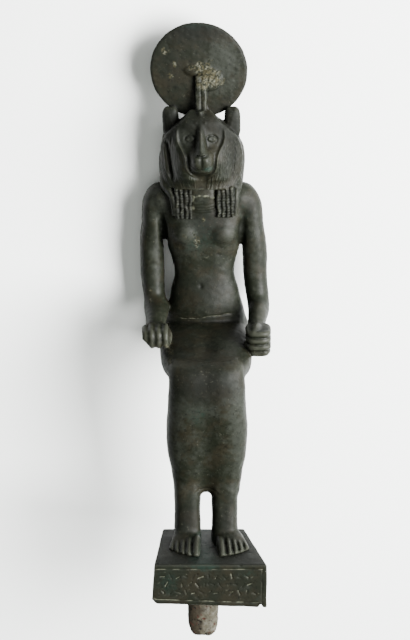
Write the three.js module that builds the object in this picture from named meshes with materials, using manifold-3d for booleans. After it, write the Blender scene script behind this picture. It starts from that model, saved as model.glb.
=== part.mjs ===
// A seated lion-headed goddess, cast in bronze in one piece: figure, sun disk, inscribed plinth and tang.
// Her throne is lost and the tang can't stand, so she lies on her back, as she does when put down.
// Millimetres: x runs to the viewer's right, y from the seat towards the head, z from back to front.

import * as THREE from "three";
import { mergeVertices } from "three/addons/utils/BufferGeometryUtils.js";
import Module from "manifold-3d";

const wasm = await Module();
wasm.setup();

// Heights up the body
const legLength = 65.4; // soles to the underside of the thighs
const lapHeight = 15.5; // underside of the thighs to the crease of the belly
const waistHeight = 20; // crease to the waist
const chestHeight = 34.5; // waist to the top of the shoulders
const faceHeight = 31; // top of the shoulders to the top of the forehead

// Widths and depths of the body
const hipHalfWidth = 17.8;
const waistHalfWidth = 11.6;
const chestHalfWidth = 16.5;
const backDepth = 12; // middle of the trunk to the plane that the casting lies on
const lapLength = 46.5; // middle of the trunk to the front of the knees
const shinHalfWidth = 14.6;
const shinDepth = 15.5;
const ankleHalfWidth = 4.5;
const ankleGap = 5.4;
const footLength = 25.5;
const armRadius = 4.75;
const elbowHalfSpan = 20.3; // middle of the body to the middle of each elbow
const leanSlope = 0.027; // the trunk leans a little to the viewer's left above the hips

// Head
const wigHalfWidth = 16.6;
const faceHalfWidth = 9.6;
const faceOffset = 0.6; // the face sits a little to the right of the wig's middle
const noseReach = 22; // middle of the trunk to the tip of the nose
const diskRadius = 18.5;
const diskThickness = 3.6;
const diskRimThickness = 1.8;

// Plinth and tang
const plinthHeight = 17;
const plinthDepth = 34;
const plinthFrontWidth = 43.4;
const plinthBackWidth = 32.6;
const plinthFrontShift = 1.7; // the front edge's middle lies to the right of the feet
const plinthBackShift = -1;
const heelMargin = 0.6; // heels to the plinth's back edge
const plinthTilt = 1.6; // how much lower the right end of the underside is
const frameInset = 2;
const grooveWidth = 0.7;
const grooveDepth = 0.45;
const chipWidth = 1.5;
const chipHeight = 3;
const tangWidth = 11.8;
const tangThickness = 6.5;
const tangLength = 21.7;
const tangShift = -1.3;
const rootFlare = 0.45;

// Places that follow from those sizes
const soleY = -legLength;
const lapY = lapHeight;
const waistY = lapY + waistHeight;
const shoulderY = waistY + chestHeight;
const crownY = shoulderY + faceHeight;
const diskY = crownY + diskRadius - 3.3;
const shinBackZ = lapLength - shinDepth;
const heelZ = shinBackZ - 2.2;
const plinthBackZ = heelZ - heelMargin;
const plinthFrontZ = plinthBackZ + plinthDepth;
const ankleX = (ankleGap + 2 * ankleHalfWidth) / 2;

// Solids from meshes

function solidOf(geometry) {
  const bare = geometry.index ? geometry.toNonIndexed() : geometry;
  bare.deleteAttribute("normal");
  bare.deleteAttribute("uv");
  const merged = mergeVertices(bare, 1e-4);
  const place = merged.attributes.position;
  for (let i = 0; i < place.count; i += 1) {
    place.setX(i, place.getX(i) - leanSlope * Math.max(0, place.getY(i)));
  }
  return new wasm.Manifold(new wasm.Mesh({
    numProp: 3,
    vertProperties: new Float32Array(place.array),
    triVerts: new Uint32Array(outward(place, Array.from(merged.index.array))),
  }));
}

// Turns every face round if the mesh encloses a negative volume
function outward(place, index) {
  const [a, b, c] = [new THREE.Vector3(), new THREE.Vector3(), new THREE.Vector3()];
  let volume = 0;
  for (let i = 0; i < index.length; i += 3) {
    a.fromBufferAttribute(place, index[i]);
    b.fromBufferAttribute(place, index[i + 1]);
    c.fromBufferAttribute(place, index[i + 2]);
    volume += a.dot(b.cross(c));
  }
  return volume > 0 ? index : index.reverse();
}

function join(solids) {
  return solids.reduce((whole, solid) => whole.add(solid));
}

// A closed skin over rings of points, each ring with as many points as the next
function skin(rings) {
  const count = rings[0].length;
  const points = rings.flat();
  const index = [];
  for (let a = 0; a < points.length - count; a += 1) {
    const b = a % count === count - 1 ? a + 1 - count : a + 1;
    index.push(a, b, a + count, b, b + count, a + count);
  }
  for (const start of [0, points.length - count]) {
    const middle = points.slice(start, start + count).reduce((sum, p) => sum.add(p), new THREE.Vector3());
    points.push(middle.divideScalar(count));
    for (let k = 0; k < count; k += 1) {
      const edge = [start + k, start + (k + 1) % count];
      index.push(points.length - 1, ...(start > 0 ? edge : edge.reverse()));
    }
  }
  const geometry = new THREE.BufferGeometry().setFromPoints(points);
  geometry.setIndex(index);
  return solidOf(geometry);
}

// The row at a place from 0 to 1 along a table of sections, on a smooth curve through its rows
function between(rows, place) {
  const span = place * (rows.length - 1);
  const i = Math.min(Math.floor(span), rows.length - 2);
  const f = span - i;
  return rows[i].map((b, k) => {
    const a = rows[Math.max(i - 1, 0)][k];
    const c = rows[i + 1][k];
    const d = rows[Math.min(i + 2, rows.length - 1)][k];
    const turn = (2 * a - 5 * b + 4 * c - d) * f * f + (3 * b - 3 * c + d - a) * f ** 3;
    return (2 * b + (c - a) * f + turn) / 2;
  });
}

// A point on a squarish oval: the turn runs once round, front and back have depths of their own
function oval(turn, halfWidth, front, back, squareness) {
  const [c, s] = [Math.cos(turn), Math.sin(turn)];
  const power = 2 / squareness;
  const depth = s > 0 ? front : back;
  return [halfWidth * Math.sign(c) * Math.abs(c) ** power, depth * Math.sign(s) * Math.abs(s) ** power];
}

// Level sections up the body, each [height, half width, front, back], with an optional carving
function column(rows, { sides, steps, squareness = 2.3, middle = 0, carve = (p) => p }) {
  const rings = [];
  for (let r = 0; r <= steps; r += 1) {
    const [y, halfWidth, front, back] = between(rows, r / steps);
    const centre = (front + back) / 2;
    const ring = [];
    for (let k = 0; k < sides; k += 1) {
      const turn = (2 * Math.PI * k) / sides;
      const [x, z] = oval(turn, halfWidth, front - centre, centre - back, squareness);
      ring.push(carve(new THREE.Vector3(middle + x, y, centre + z), turn));
    }
    rings.push(ring);
  }
  return skin(rings);
}

// Round sections strung on a path, each [x, y, z, half width, half depth]
function limb(rows, { sides, steps, across = new THREE.Vector3(1, 0, 0), squareness = 2 }) {
  const rings = [];
  for (let r = 0; r <= steps; r += 1) {
    const place = r / steps;
    const [x, y, z, halfWidth, halfDepth] = between(rows, place);
    const ahead = new THREE.Vector3(...between(rows, Math.min(place + 0.02, 1)));
    const behind = new THREE.Vector3(...between(rows, Math.max(place - 0.02, 0)));
    const along = ahead.sub(behind).normalize();
    const deep = new THREE.Vector3().crossVectors(along, across).normalize();
    const wide = new THREE.Vector3().crossVectors(deep, along);
    const ring = [];
    for (let k = 0; k < sides; k += 1) {
      const [u, w] = oval((2 * Math.PI * k) / sides, halfWidth, halfDepth, halfDepth, squareness);
      ring.push(new THREE.Vector3(x, y, z).addScaledVector(wide, u).addScaledVector(deep, w));
    }
    rings.push(ring);
  }
  return skin(rings);
}

function ball(x, y, z, rx, ry, rz, sides = 14) {
  const geometry = new THREE.SphereGeometry(1, sides, Math.ceil(sides / 2));
  return solidOf(geometry.scale(rx, ry, rz).translate(x, y, z));
}

// A smooth bump, 1 at its middle and nearly 0 past its reach
const bump = (distance, reach) => Math.exp(-((distance / reach) ** 2));

// 0 before the first value, 1 past the second
const ramp = (value, from, to) => THREE.MathUtils.smoothstep(value, from, to);

// Trunk in its close dress, from the seat to the shoulders

function trunk() {
  const rows = [
    [1.5, hipHalfWidth - 2.6, 7, -backDepth + 0.8],
    [lapY * 0.55, hipHalfWidth - 0.4, 8, -backDepth],
    [lapY, 15.8, 8, -10.6],
    [lapY + waistHeight * 0.5, 13.6, 7.6, -7.6],
    [waistY, waistHalfWidth, 7, -6.6],
    [waistY + chestHeight * 0.33, chestHalfWidth - 1.2, 8, -7.6],
    [waistY + chestHeight * 0.56, chestHalfWidth, 8.6, -8.8],
    [waistY + chestHeight * 0.84, chestHalfWidth + 0.5, 7.4, -8.4],
    [shoulderY - 0.8, chestHalfWidth - 2, 4.5, -6],
    [shoulderY + 2, 9, 3, -4.5],
  ];
  const bellyY = lapY + waistHeight * 0.28;
  const carve = (p) => {
    p.z += ramp(p.z, 0, 4) * 1.3 * bump(p.x, 8) * bump(p.y - bellyY, 6);
    return p;
  };
  const breastY = waistY + chestHeight * 0.47;
  const breasts = [-1, 1].map((side) => ball(side * 7, breastY, 2, 7.6, 6.6, 8.6, 12));
  return join([column(rows, { sides: 20, steps: 11, carve }), ...breasts]);
}

// Lap: the thighs side by side under the dress, squared below where they lay on the seat

function lap() {
  const rows = [
    [-backDepth, 13.6, 11.5, 2.4],
    [-backDepth + 3, 16.6, 14, 0],
    [0, hipHalfWidth, lapY, 0],
    [lapLength * 0.22, hipHalfWidth + 0.2, lapY - 0.6, 0],
    [lapLength * 0.45, hipHalfWidth + 0.3, lapY - 2.2, 0],
    [lapLength * 0.66, hipHalfWidth - 0.5, lapY - 3.4, -0.5],
    [lapLength * 0.8, hipHalfWidth - 2.2, lapY - 4.4, 0],
    [lapLength * 0.9, shinHalfWidth - 1.2, lapY - 6, 1],
    [lapLength * 0.95, shinHalfWidth - 5.4, lapY - 9, 3],
  ];
  const rings = [];
  const [sides, steps] = [20, 9];
  for (let r = 0; r <= steps; r += 1) {
    const [z, halfWidth, top, bottom] = between(rows, r / steps);
    const middle = (top + bottom) / 2;
    const squareness = 2.4 + ramp(z, 0, 14);
    const ring = [];
    for (let k = 0; k < sides; k += 1) {
      const turn = (2 * Math.PI * k) / sides;
      const [x, y] = oval(turn, halfWidth, top - middle, middle - bottom, squareness);
      const valley = ramp(z, 6, lapLength * 0.7) * 0.9 * bump(x, 2.6) * ramp(y, 0, 4);
      ring.push(new THREE.Vector3(x, middle + y - valley, z));
    }
    rings.push(ring);
  }
  return skin(rings);
}

// Lower legs under the dress, down to its hem above the ankles

function shins() {
  const hem = soleY * 0.68;
  const rows = [
    [lapY - 5.2, shinHalfWidth - 2.2, lapLength - 6, shinBackZ + 3],
    [lapY - 7.4, shinHalfWidth - 0.8, lapLength - 2, shinBackZ + 1.5],
    [lapY - 13, shinHalfWidth - 0.4, lapLength, shinBackZ],
    [soleY * 0.12, shinHalfWidth, lapLength - 0.2, shinBackZ - 1],
    [soleY * 0.3, shinHalfWidth + 0.6, lapLength - 2.2, shinBackZ - 2.2],
    [soleY * 0.45, shinHalfWidth, lapLength - 4, shinBackZ - 2.2],
    [soleY * 0.58, shinHalfWidth - 1.6, lapLength - 5.2, shinBackZ - 1.6],
    [hem, shinHalfWidth - 2.8, lapLength - 6.4, shinBackZ - 1.2],
  ];
  return column(rows, { sides: 20, steps: 9, squareness: 2.8 });
}

// One ankle and foot; the turnout moves the toes outwards, and the big toe is the inner one

function foot(side, turnout) {
  const instep = (share) => side * ankleX + side * turnout * share;
  const ankleFrontZ = heelZ + 11.5;
  const ankle = column([
    [soleY * 0.6, ankleHalfWidth - 1.4, ankleFrontZ - 2, heelZ + 3.4],
    [soleY * 0.72, ankleHalfWidth - 0.1, ankleFrontZ - 0.2, heelZ + 1],
    [soleY * 0.86, ankleHalfWidth, ankleFrontZ, heelZ + 0.6],
    [soleY + 1, ankleHalfWidth + 0.2, ankleFrontZ + 1, heelZ],
    [soleY - 0.6, ankleHalfWidth, ankleFrontZ, heelZ + 0.2],
  ], { sides: 12, steps: 4, squareness: 2.6, middle: side * ankleX });
  const sole = limb([
    [instep(0), soleY + 4.6, heelZ + 5, 4.4, 5.4],
    [instep(0.25), soleY + 3.9, heelZ + 11, 4.7, 4.7],
    [instep(0.6), soleY + 2.4, heelZ + footLength * 0.62, 5.6, 3.3],
    [instep(0.85), soleY + 1.5, heelZ + footLength * 0.74, 5.9, 2.3],
  ], { sides: 10, steps: 4, squareness: 2.5 });
  // The toes are one skin across the front of the foot, pinched between each two
  const toeWidths = [3.3, 2.5, 2.3, 2.2, 2];
  const rings = [];
  let x = instep(0.85) - side * 6.1;
  for (let i = 0; i <= 2 * toeWidths.length; i += 1) {
    const toe = Math.min(Math.floor(i / 2), toeWidths.length - 1);
    const pinched = i % 2 === 0;
    const tip = heelZ + footLength - 0.3 * toe * toe - (pinched ? 1.6 : 0);
    const height = (toe === 0 ? 3.4 : 2.9) - (pinched ? 0.9 : 0);
    rings.push(Array.from({ length: 8 }, (_, k) => {
      const reach = (4.6 - 0.36 * toe) * (i % (2 * toeWidths.length) === 0 ? 0.6 : 1);
      const [z, y] = oval((2 * Math.PI * k) / 8, reach, height / 2, height / 2, 2.4);
      return new THREE.Vector3(x, soleY - 0.6 + height / 2 + y, tip - reach + z);
    }));
    x += side * toeWidths[toe] * 0.5;
  }
  return join([ankle, sole, skin(rings)]);
}

// Arm from the shoulder down to the elbow and forward to the wrist

function arm(side, wristY, tuck) {
  const x = side * elbowHalfSpan;
  const handZ = lapLength * 0.46;
  return limb([
    [side * (chestHalfWidth - 4.5), shoulderY - 1.8, -1.4, 1.4, 2.4],
    [side * (chestHalfWidth - 1), shoulderY - 4, -1.6, 4.8, 4.6],
    [side * (chestHalfWidth + 1.9), shoulderY - 8.6, -1.6, 5.1, 5.6],
    [side * (elbowHalfSpan - 0.9), waistY + chestHeight * 0.5, -1.5, armRadius + 0.1, armRadius + 0.5],
    [x - side * 0.1, waistY + chestHeight * 0.2, -1.4, armRadius, armRadius + 0.3],
    [x - side * tuck * 0.4, waistY - 3, -1.4, armRadius + tuck * 0.4, armRadius],
    [x + side * (0.1 - tuck), lapY + 8.5, -0.6, armRadius + tuck, armRadius - 0.2],
    [x + side * (0.4 - tuck * 0.6), lapY + 4.4, 3.4, armRadius + tuck * 0.6, armRadius - 0.4],
    [x + side * 0.2, lapY + 2.6, handZ * 0.5, armRadius - 0.4, armRadius - 0.6],
    [x - side * 0.2, (lapY + 2 + wristY) / 2, handZ * 0.8, armRadius - 1, armRadius - 1.1],
    [x - side * 0.4, wristY, handZ + 1, armRadius - 1.3, armRadius - 1.2],
  ], { sides: 10, steps: 13 });
}

// Fist laid palm down on the lap: four fingers side by side, bent over the front

function flatFist(side) {
  const [x, z] = [side * (elbowHalfSpan - 0.9), lapLength * 0.5];
  const top = lapY + 4.6;
  const low = lapY - 4.4;
  const [count, pitch] = [4, 2.55];
  const rings = [];
  for (let i = 0; i <= 2 * count; i += 1) {
    const pinch = i % 2 === 0 ? 0.65 : 0;
    rings.push(Array.from({ length: 10 }, (_, k) => {
      const [dz, dy] = oval((2 * Math.PI * k) / 10, 5.6 - pinch, (top - low) / 2 - pinch, (top - low) / 2 - pinch, 2.8);
      return new THREE.Vector3(x + (i / 2 - count / 2) * pitch, (top + low) / 2 + dy, z + 2 + dz);
    }));
  }
  const palm = limb([
    [x, top - 4, z - 6, 3.6, 3.2],
    [x, top - 4.2, z - 2, 4.4, 4],
    [x, top - 4.4, z + 3, 4.4, 4],
  ], { sides: 10, steps: 3, squareness: 2.6 });
  const thumb = limb([
    [x - side * 4, top - 3.2, z - 3, 1.5, 1.5],
    [x - side * 5.4, top - 4.6, z + 1.5, 1.5, 1.6],
    [x - side * 5, low + 2.2, z + 5, 1.2, 1.2],
  ], { sides: 6, steps: 3 });
  return join([skin(rings), palm, thumb]);
}

// Upright fist that once held a staff: the thumb on top, four fingers one below another

function uprightFist(side) {
  const [x, z] = [side * (elbowHalfSpan + 0.3), lapLength * 0.5];
  const top = lapY + 2.9;
  const [count, pitch] = [4, 2.75];
  const rings = [];
  for (let i = 0; i <= 2 * count; i += 1) {
    const pinch = i % 2 === 0 ? 0.65 : 0;
    const taper = 0.12 * i;
    rings.push(Array.from({ length: 10 }, (_, k) => {
      const [dx, dz] = oval((2 * Math.PI * k) / 10, 5 - pinch, 6.4 - pinch - taper, 4.6, 2.8);
      return new THREE.Vector3(x + dx, top - (i / 2) * pitch, z + dz);
    }));
  }
  const wrist = limb([
    [x + side * 0.1, top - 3.8, z - 6.5, 3.2, 3.4],
    [x + side * 0.4, top - 4.6, z - 3, 3.6, 4.8],
    [x + side * 0.4, top - 4.6, z, 3.4, 4.6],
  ], { sides: 10, steps: 2, squareness: 2.6 });
  const thumb = limb([
    [x, top - 1.4, z - 5, 2, 1.9],
    [x - side * 0.6, top + 0.4, z - 0.5, 2.1, 1.7],
    [x - side * 0.9, top + 0.5, z + 3.4, 1.8, 1.4],
    [x - side * 0.9, top + 0.1, z + 5.6, 1.1, 0.8],
  ], { sides: 8, steps: 4 });
  return join([skin(rings), wrist, thumb]);
}

// Lion's face as a relief: a depth for each place across and up the head

const noseTipY = crownY - 13.7;
const eyeY = noseTipY + 5.4;
const browY = eyeY + 4.2;
const mouthY = noseTipY - 4.7;
const chinY = mouthY - 4.8;

function faceDepth(x, y) {
  const across = Math.abs(x);
  const dome = 1 - (across / (faceHalfWidth + 2.6)) ** 2 - ((y - eyeY + 3) / 17) ** 2;
  let z = 12.5 * Math.sqrt(Math.max(dome, 0)) - 0.5 + 3 * ramp(y, browY, crownY);
  z += 1.1 * bump(across - 5.4, 3.2) * bump(y - browY - 0.4, 1.7);
  z -= 1.6 * bump(across - 4.6, 2.6) * bump(y - eyeY - 0.4, 2.6);
  const bridge = THREE.MathUtils.clamp((browY + 1 - y) / (browY + 1 - noseTipY), 0, 1);
  const ridge = noseReach - 8.6 * (1 - bridge) ** 1.1;
  const onBridge = (1 - ramp(across, 0.8 + bridge, 3.4 + bridge)) * ramp(y, noseTipY - 1, noseTipY);
  z = THREE.MathUtils.lerp(z, Math.max(z, ridge), onBridge * (1 - ramp(y, browY - 0.5, browY + 3)));
  const muzzleTop = 1 - ramp(y, noseTipY - 1.2, noseTipY + 3);
  const muzzleFoot = ramp(y, chinY - 1, chinY + 1.8);
  const muzzleSide = 1 - ramp(across, 5, 8);
  const pads = 0.9 * bump(across - 3.1, 2.6) * bump(y - noseTipY + 2.6, 2.2);
  const lips = noseReach - 1.8 - 0.3 * (noseTipY - y) - 0.045 * across * across + pads;
  z = THREE.MathUtils.lerp(z, Math.max(z, lips), muzzleTop * muzzleFoot * muzzleSide);
  const smile = mouthY + 0.06 * across * across;
  z -= 1.1 * bump(y - smile, 0.7) * (1 - ramp(across, 4, 5.4));
  return z;
}

// Half the width of the face at a height: a rounded crown, full cheeks, a small chin
function faceHalf(y) {
  const [low, high] = [chinY - 3.4, crownY + 0.6];
  const share = THREE.MathUtils.clamp((2 * y - low - high) / (high - low), -1, 1);
  return faceHalfWidth * (1 - Math.abs(share) ** 2.7) ** (1 / 2.7) + 0.4;
}

function face() {
  const shares = [-1, -0.86, -0.72, -0.58, -0.46, -0.34, -0.22, -0.1, 0];
  const columns = [...shares, ...shares.slice(0, -1).reverse().map((share) => -share)];
  const rows = [
    chinY - 3, chinY - 1, chinY + 0.8, mouthY - 1.9, mouthY - 0.7, mouthY, mouthY + 0.8, noseTipY - 2,
    noseTipY - 0.7, noseTipY, noseTipY + 1.6, eyeY - 2, eyeY - 0.4, eyeY + 1.6, browY - 1.2, browY + 0.4,
    browY + 2, crownY - 1.2, crownY - 0.2, crownY + 0.4,
  ];
  const rings = rows.map((y) => {
    const half = faceHalf(y);
    const backZ = THREE.MathUtils.lerp(-4, 5, ramp(y, eyeY, crownY - 1));
    const edge = (side) => new THREE.Vector3(faceOffset + side * half, y, backZ);
    const front = columns.map((share) => new THREE.Vector3(
      faceOffset + share * half, y, Math.max(faceDepth(share * half, y), backZ + 0.6),
    ));
    return [edge(-1), ...front, edge(1)];
  });
  const eyes = [-1, 1].map((side) => ball(faceOffset + side * 4.5, eyeY, 9.2, 2.2, 1.35, 2.2, 10));
  return join([skin(rings), ...eyes]);
}

// Mane: a ruff of locks that radiate from the face and slope back to its rim

function ruff() {
  const locks = 20;
  const spread = 1.78; // how far round from the chin the ruff runs to each side
  const middleY = eyeY - 3.2;
  const [innerWide, innerTall] = [faceHalfWidth - 3, middleY - chinY - 2];
  const [outerWide, outerTall] = [wigHalfWidth - 0.7, middleY - shoulderY - 0.8];
  const rings = [];
  for (let k = 0; k <= 2 * locks; k += 1) {
    const turn = spread * (k / locks - 1);
    const ridge = k % 2 === 0 ? 0.4 : -0.4;
    const below = bump(turn, 1.2);
    const sink = 2.4 * ramp(Math.abs(turn), 1.2, spread);
    const [acrossShare, downShare] = oval(turn, 1, 1, 1, 2.5);
    const ring = [
      [0, 7.6 + below - sink, 0], [0.36, 8.8 + below - sink, 0.7], [0.64, 8.4 + 2.4 * below - sink, 1],
      [0.88, 6.4 + 4.2 * below - sink, 1], [1, 3.6 + 6 * below - sink, 0.6], [0.9, -1 + 7 * below, 0],
      [0, -1, 0],
    ].map(([share, z, carved]) => new THREE.Vector3(
      faceOffset + downShare * THREE.MathUtils.lerp(innerWide, outerWide, share),
      middleY - acrossShare * THREE.MathUtils.lerp(innerTall, outerTall + ridge * 0.5, share),
      z + ridge * carved,
    ));
    rings.push(ring);
  }
  return skin(rings);
}

// Wig: the strands that fall behind the ruff over the shoulders and the back of the head

function wig() {
  const rows = [
    [shoulderY - 12, 12.5, -3, -backDepth + 1.5],
    [shoulderY - 6, wigHalfWidth - 2.4, 1, -backDepth + 0.4],
    [shoulderY + 1, wigHalfWidth - 0.6, 4, -backDepth],
    [shoulderY + 9, wigHalfWidth, 5.5, -backDepth],
    [shoulderY + 15, wigHalfWidth - 0.7, 5.5, -backDepth + 0.2],
    [shoulderY + 20, wigHalfWidth - 3, 4.6, -backDepth + 1.2],
    [crownY - 7.6, wigHalfWidth - 7, 4, -backDepth + 4],
    [crownY - 5.4, wigHalfWidth - 11, 3, -4.4],
    [crownY - 4.4, 2.6, 2, -2],
  ];
  const strands = 16;
  const carve = (p, turn) => {
    const ridge = 0.28 * Math.cos(strands * turn);
    p.x += ridge * Math.cos(turn);
    p.z = Math.max(p.z + ridge * Math.sin(turn), -backDepth);
    return p;
  };
  return column(rows, { sides: 2 * strands, steps: 7, squareness: 2.5, carve });
}

// Two lappets of braids on the chest, each braid a strand with a bead at every turn

function lappet(side) {
  const [braids, beads] = [4, 2];
  const [inner, outer] = [4.8, 11.6];
  const pitch = (outer - inner) / braids;
  const low = shoulderY - 11.4;
  const top = shoulderY + 4;
  const solids = [];
  for (let i = 0; i < braids; i += 1) {
    const x = faceOffset + side * (inner + pitch * (i + 0.5));
    const rows = [];
    for (let b = 0; b <= 2 * beads; b += 1) {
      const share = b / (2 * beads);
      const size = b % 2 === 0 ? 0.92 : 1.12;
      const y = THREE.MathUtils.lerp(low, top, share);
      rows.push([x, y, 7.6 + 0.8 * share, (pitch / 2) * size, 2.2 * size]);
    }
    solids.push(limb(rows, { sides: 5, steps: 2 * beads }));
  }
  const edge = limb([
    [faceOffset + side * (outer + 0.2), low + 0.4, 6.2, 1.2, 2.4],
    [faceOffset + side * (outer + 0.8), shoulderY - 4, 5.4, 1.5, 3],
    [side * (wigHalfWidth - 2.4), top, 1.6, 1.5, 3.4],
    [side * (wigHalfWidth - 2.6), top + 4, -1.4, 1.2, 2.6],
  ], { sides: 6, steps: 3 });
  return join([edge, ...solids]);
}

// Rounded ear, hollowed in front, standing out beside the disk

function ear(side) {
  const x = faceOffset + side * 12.3;
  const y = crownY - 4.9;
  const shell = ball(x, y, 2, 3.8, 6.3, 2.9, 12);
  const hollow = ball(x + side * 0.3, y + 0.6, 5.2, 2.1, 4.6, 2.6, 8);
  const root = ball(x - side * 1, y - 3.6, 1.4, 3.4, 4, 2.8, 8);
  return shell.add(root).subtract(hollow);
}

// Sun disk: a shallow lens with a blunt rim, joined to the head behind the forehead

function sunDisk() {
  const half = diskThickness / 2;
  const rim = diskRimThickness / 2;
  const profile = [
    [0, -half], [diskRadius - 0.3, -rim], [diskRadius, 0], [diskRadius - 0.3, rim], [0, half],
  ].map(([r, z]) => new THREE.Vector2(r, z));
  const lens = new THREE.LatheGeometry(profile, 38).rotateX(Math.PI / 2).translate(0, diskY, 0);
  const root = column([
    [crownY - 8, 6, 6, -6],
    [crownY - 2.6, 4.2, 3.6, -3.6],
    [crownY + 2.5, 3, 1.5, -1.5],
  ], { sides: 10, steps: 2 });
  return solidOf(lens).add(root);
}

// Serpent on the disk: its body rises from the brow, and its worn hood is a rough low mound

function uraeus() {
  const frontZ = diskThickness / 2;
  const hoodY = diskY - 4.4;
  const body = limb([
    [0.9, crownY - 4, frontZ + 5, 1.6, 1.4],
    [0.9, crownY + 0.6, frontZ + 4.2, 2, 1.9],
    [0.9, (crownY + hoodY) / 2, frontZ + 1.2, 2.2, 2],
    [1, hoodY + 1, frontZ + 0.4, 2.2, 1.6],
  ], { sides: 8, steps: 3, squareness: 3 });
  const hood = [
    ball(3.4, hoodY - 0.2, frontZ, 5, 4.6, 1.9, 9),
    ball(0, hoodY + 3.4, frontZ - 0.3, 5, 2.4, 1.4, 8),
  ];
  return join([body, ...hood]);
}

// Plinth: wider in front, its front framed by fine grooves round rows of strokes

const plinthPlan = {
  frontLeft: plinthFrontShift - plinthFrontWidth / 2,
  frontRight: plinthFrontShift + plinthFrontWidth / 2,
  backLeft: plinthBackShift - plinthBackWidth / 2,
  backRight: plinthBackShift + plinthBackWidth / 2,
};
const plinthBottomY = soleY - plinthHeight;

// The underside slopes evenly down from its left end
const undersideDrop = (x) => (plinthTilt * (x - plinthPlan.frontLeft)) / plinthFrontWidth;

function plinth() {
  const { frontLeft, frontRight, backLeft, backRight } = plinthPlan;
  const soften = 0.5;
  const ring = (y, inset, sloped) => [
    [frontLeft + inset, plinthFrontZ - inset], [frontRight - inset, plinthFrontZ - inset],
    [backRight - inset, plinthBackZ + inset], [backLeft + inset, plinthBackZ + inset],
  ].map(([x, z]) => new THREE.Vector3(x, y - (sloped ? undersideDrop(x) : 0), z));
  return skin([
    ring(plinthBottomY, soften, true), ring(plinthBottomY + soften, 0, true),
    ring(soleY - soften, 0, false), ring(soleY, soften, false),
  ]);
}

// A shallow groove of square section between two places on the plinth's front
function groove(x0, y0, x1, y1, width = grooveWidth) {
  const length = Math.hypot(x1 - x0, y1 - y0) + width;
  const geometry = new THREE.BoxGeometry(length, width, 2 * grooveDepth);
  geometry.rotateZ(Math.atan2(y1 - y0, x1 - x0));
  return solidOf(geometry.translate((x0 + x1) / 2, (y0 + y1) / 2, plinthFrontZ));
}

function plinthCuts() {
  const { frontLeft, frontRight } = plinthPlan;
  const [left, right] = [frontLeft + 0.6, frontRight - frameInset];
  const [top, low] = [soleY - frameInset, plinthBottomY + frameInset];
  const lowRight = low - undersideDrop(right);
  const cuts = [
    groove(left, top, right + 1.4, top),
    groove(left, low, right, lowRight),
    groove(right, top, right, lowRight),
  ];
  const strokes = 13;
  const pitch = (right - left - 4) / strokes;
  for (let i = 0; i < strokes; i += 1) {
    const x = left + 2.6 + pitch * (i + 0.5);
    const reach = 2.6 + 1.4 * Math.sin(2.4 * i);
    const slant = 1.2 * Math.sin(4.1 * i + 1);
    const y = (top + low) / 2 - 0.4 + 0.9 * Math.sin(1.7 * i);
    cuts.push(groove(x - slant / 2, y - reach, x + slant / 2, y + reach, 0.6));
  }
  const chipX = frontRight - 2.6;
  const chipY = plinthBottomY - plinthTilt;
  cuts.push(ball(chipX, chipY, plinthFrontZ - 1, chipWidth, chipHeight, 6, 10));
  return join(cuts);
}

// Tang below the plinth, a little wider at its root, with rounded corners and a worn rounded end

function tang() {
  const z = (plinthFrontZ + plinthBackZ) / 2;
  const half = tangWidth / 2;
  const [depth, end] = [tangThickness / 2, plinthBottomY - tangLength];
  return column([
    [plinthBottomY + 2, half + rootFlare, z + depth + 0.1, z - depth - 0.1],
    [plinthBottomY - tangLength * 0.2, half, z + depth, z - depth],
    [plinthBottomY - tangLength * 0.7, half - 0.1, z + depth - 0.1, z - depth + 0.1],
    [end + 2.6, half - 0.7, z + depth - 0.4, z - depth + 0.4],
    [end + 0.6, half - 2.2, z + depth - 1.2, z - depth + 1.2],
    [end, half - 3.4, z + depth - 1.8, z - depth + 1.8],
  ], { sides: 12, steps: 6, squareness: 3.4, middle: tangShift });
}

// The whole casting

const head = join([face(), ruff(), wig(), lappet(-1), lappet(1), ear(-1), ear(1), sunDisk(), uraeus()]);
const body = join([trunk(), lap(), shins(), foot(-1, 1.2), foot(1, 3.4)]);
const arms = join([arm(-1, lapY + 0.6, 1.1), arm(1, lapY - 0.6, -0.6), flatFist(-1), uprightFist(1)]);
const base = join([plinth().subtract(plinthCuts()), tang()]);
const casting = join([body, arms, head, base]);

const cast = casting.getMesh();
const geometry = new THREE.BufferGeometry();
geometry.setAttribute("position", new THREE.Float32BufferAttribute(cast.vertProperties, 3));
geometry.setIndex(Array.from(cast.triVerts));
geometry.computeBoundingBox();

const bronze = new THREE.MeshStandardMaterial({ color: 0x565a4c, roughness: 0.55, metalness: 0.75 });
const statue = new THREE.Mesh(geometry, bronze);
statue.name = "statue";

// The origin is under the middle of the casting's box, on the surface that it lies on
const { min, max } = geometry.boundingBox;
statue.position.set(-(min.x + max.x) / 2, -(min.y + max.y) / 2, -min.z);

const part = new THREE.Group();
part.add(statue);

export default part;
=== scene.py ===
import math

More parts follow.
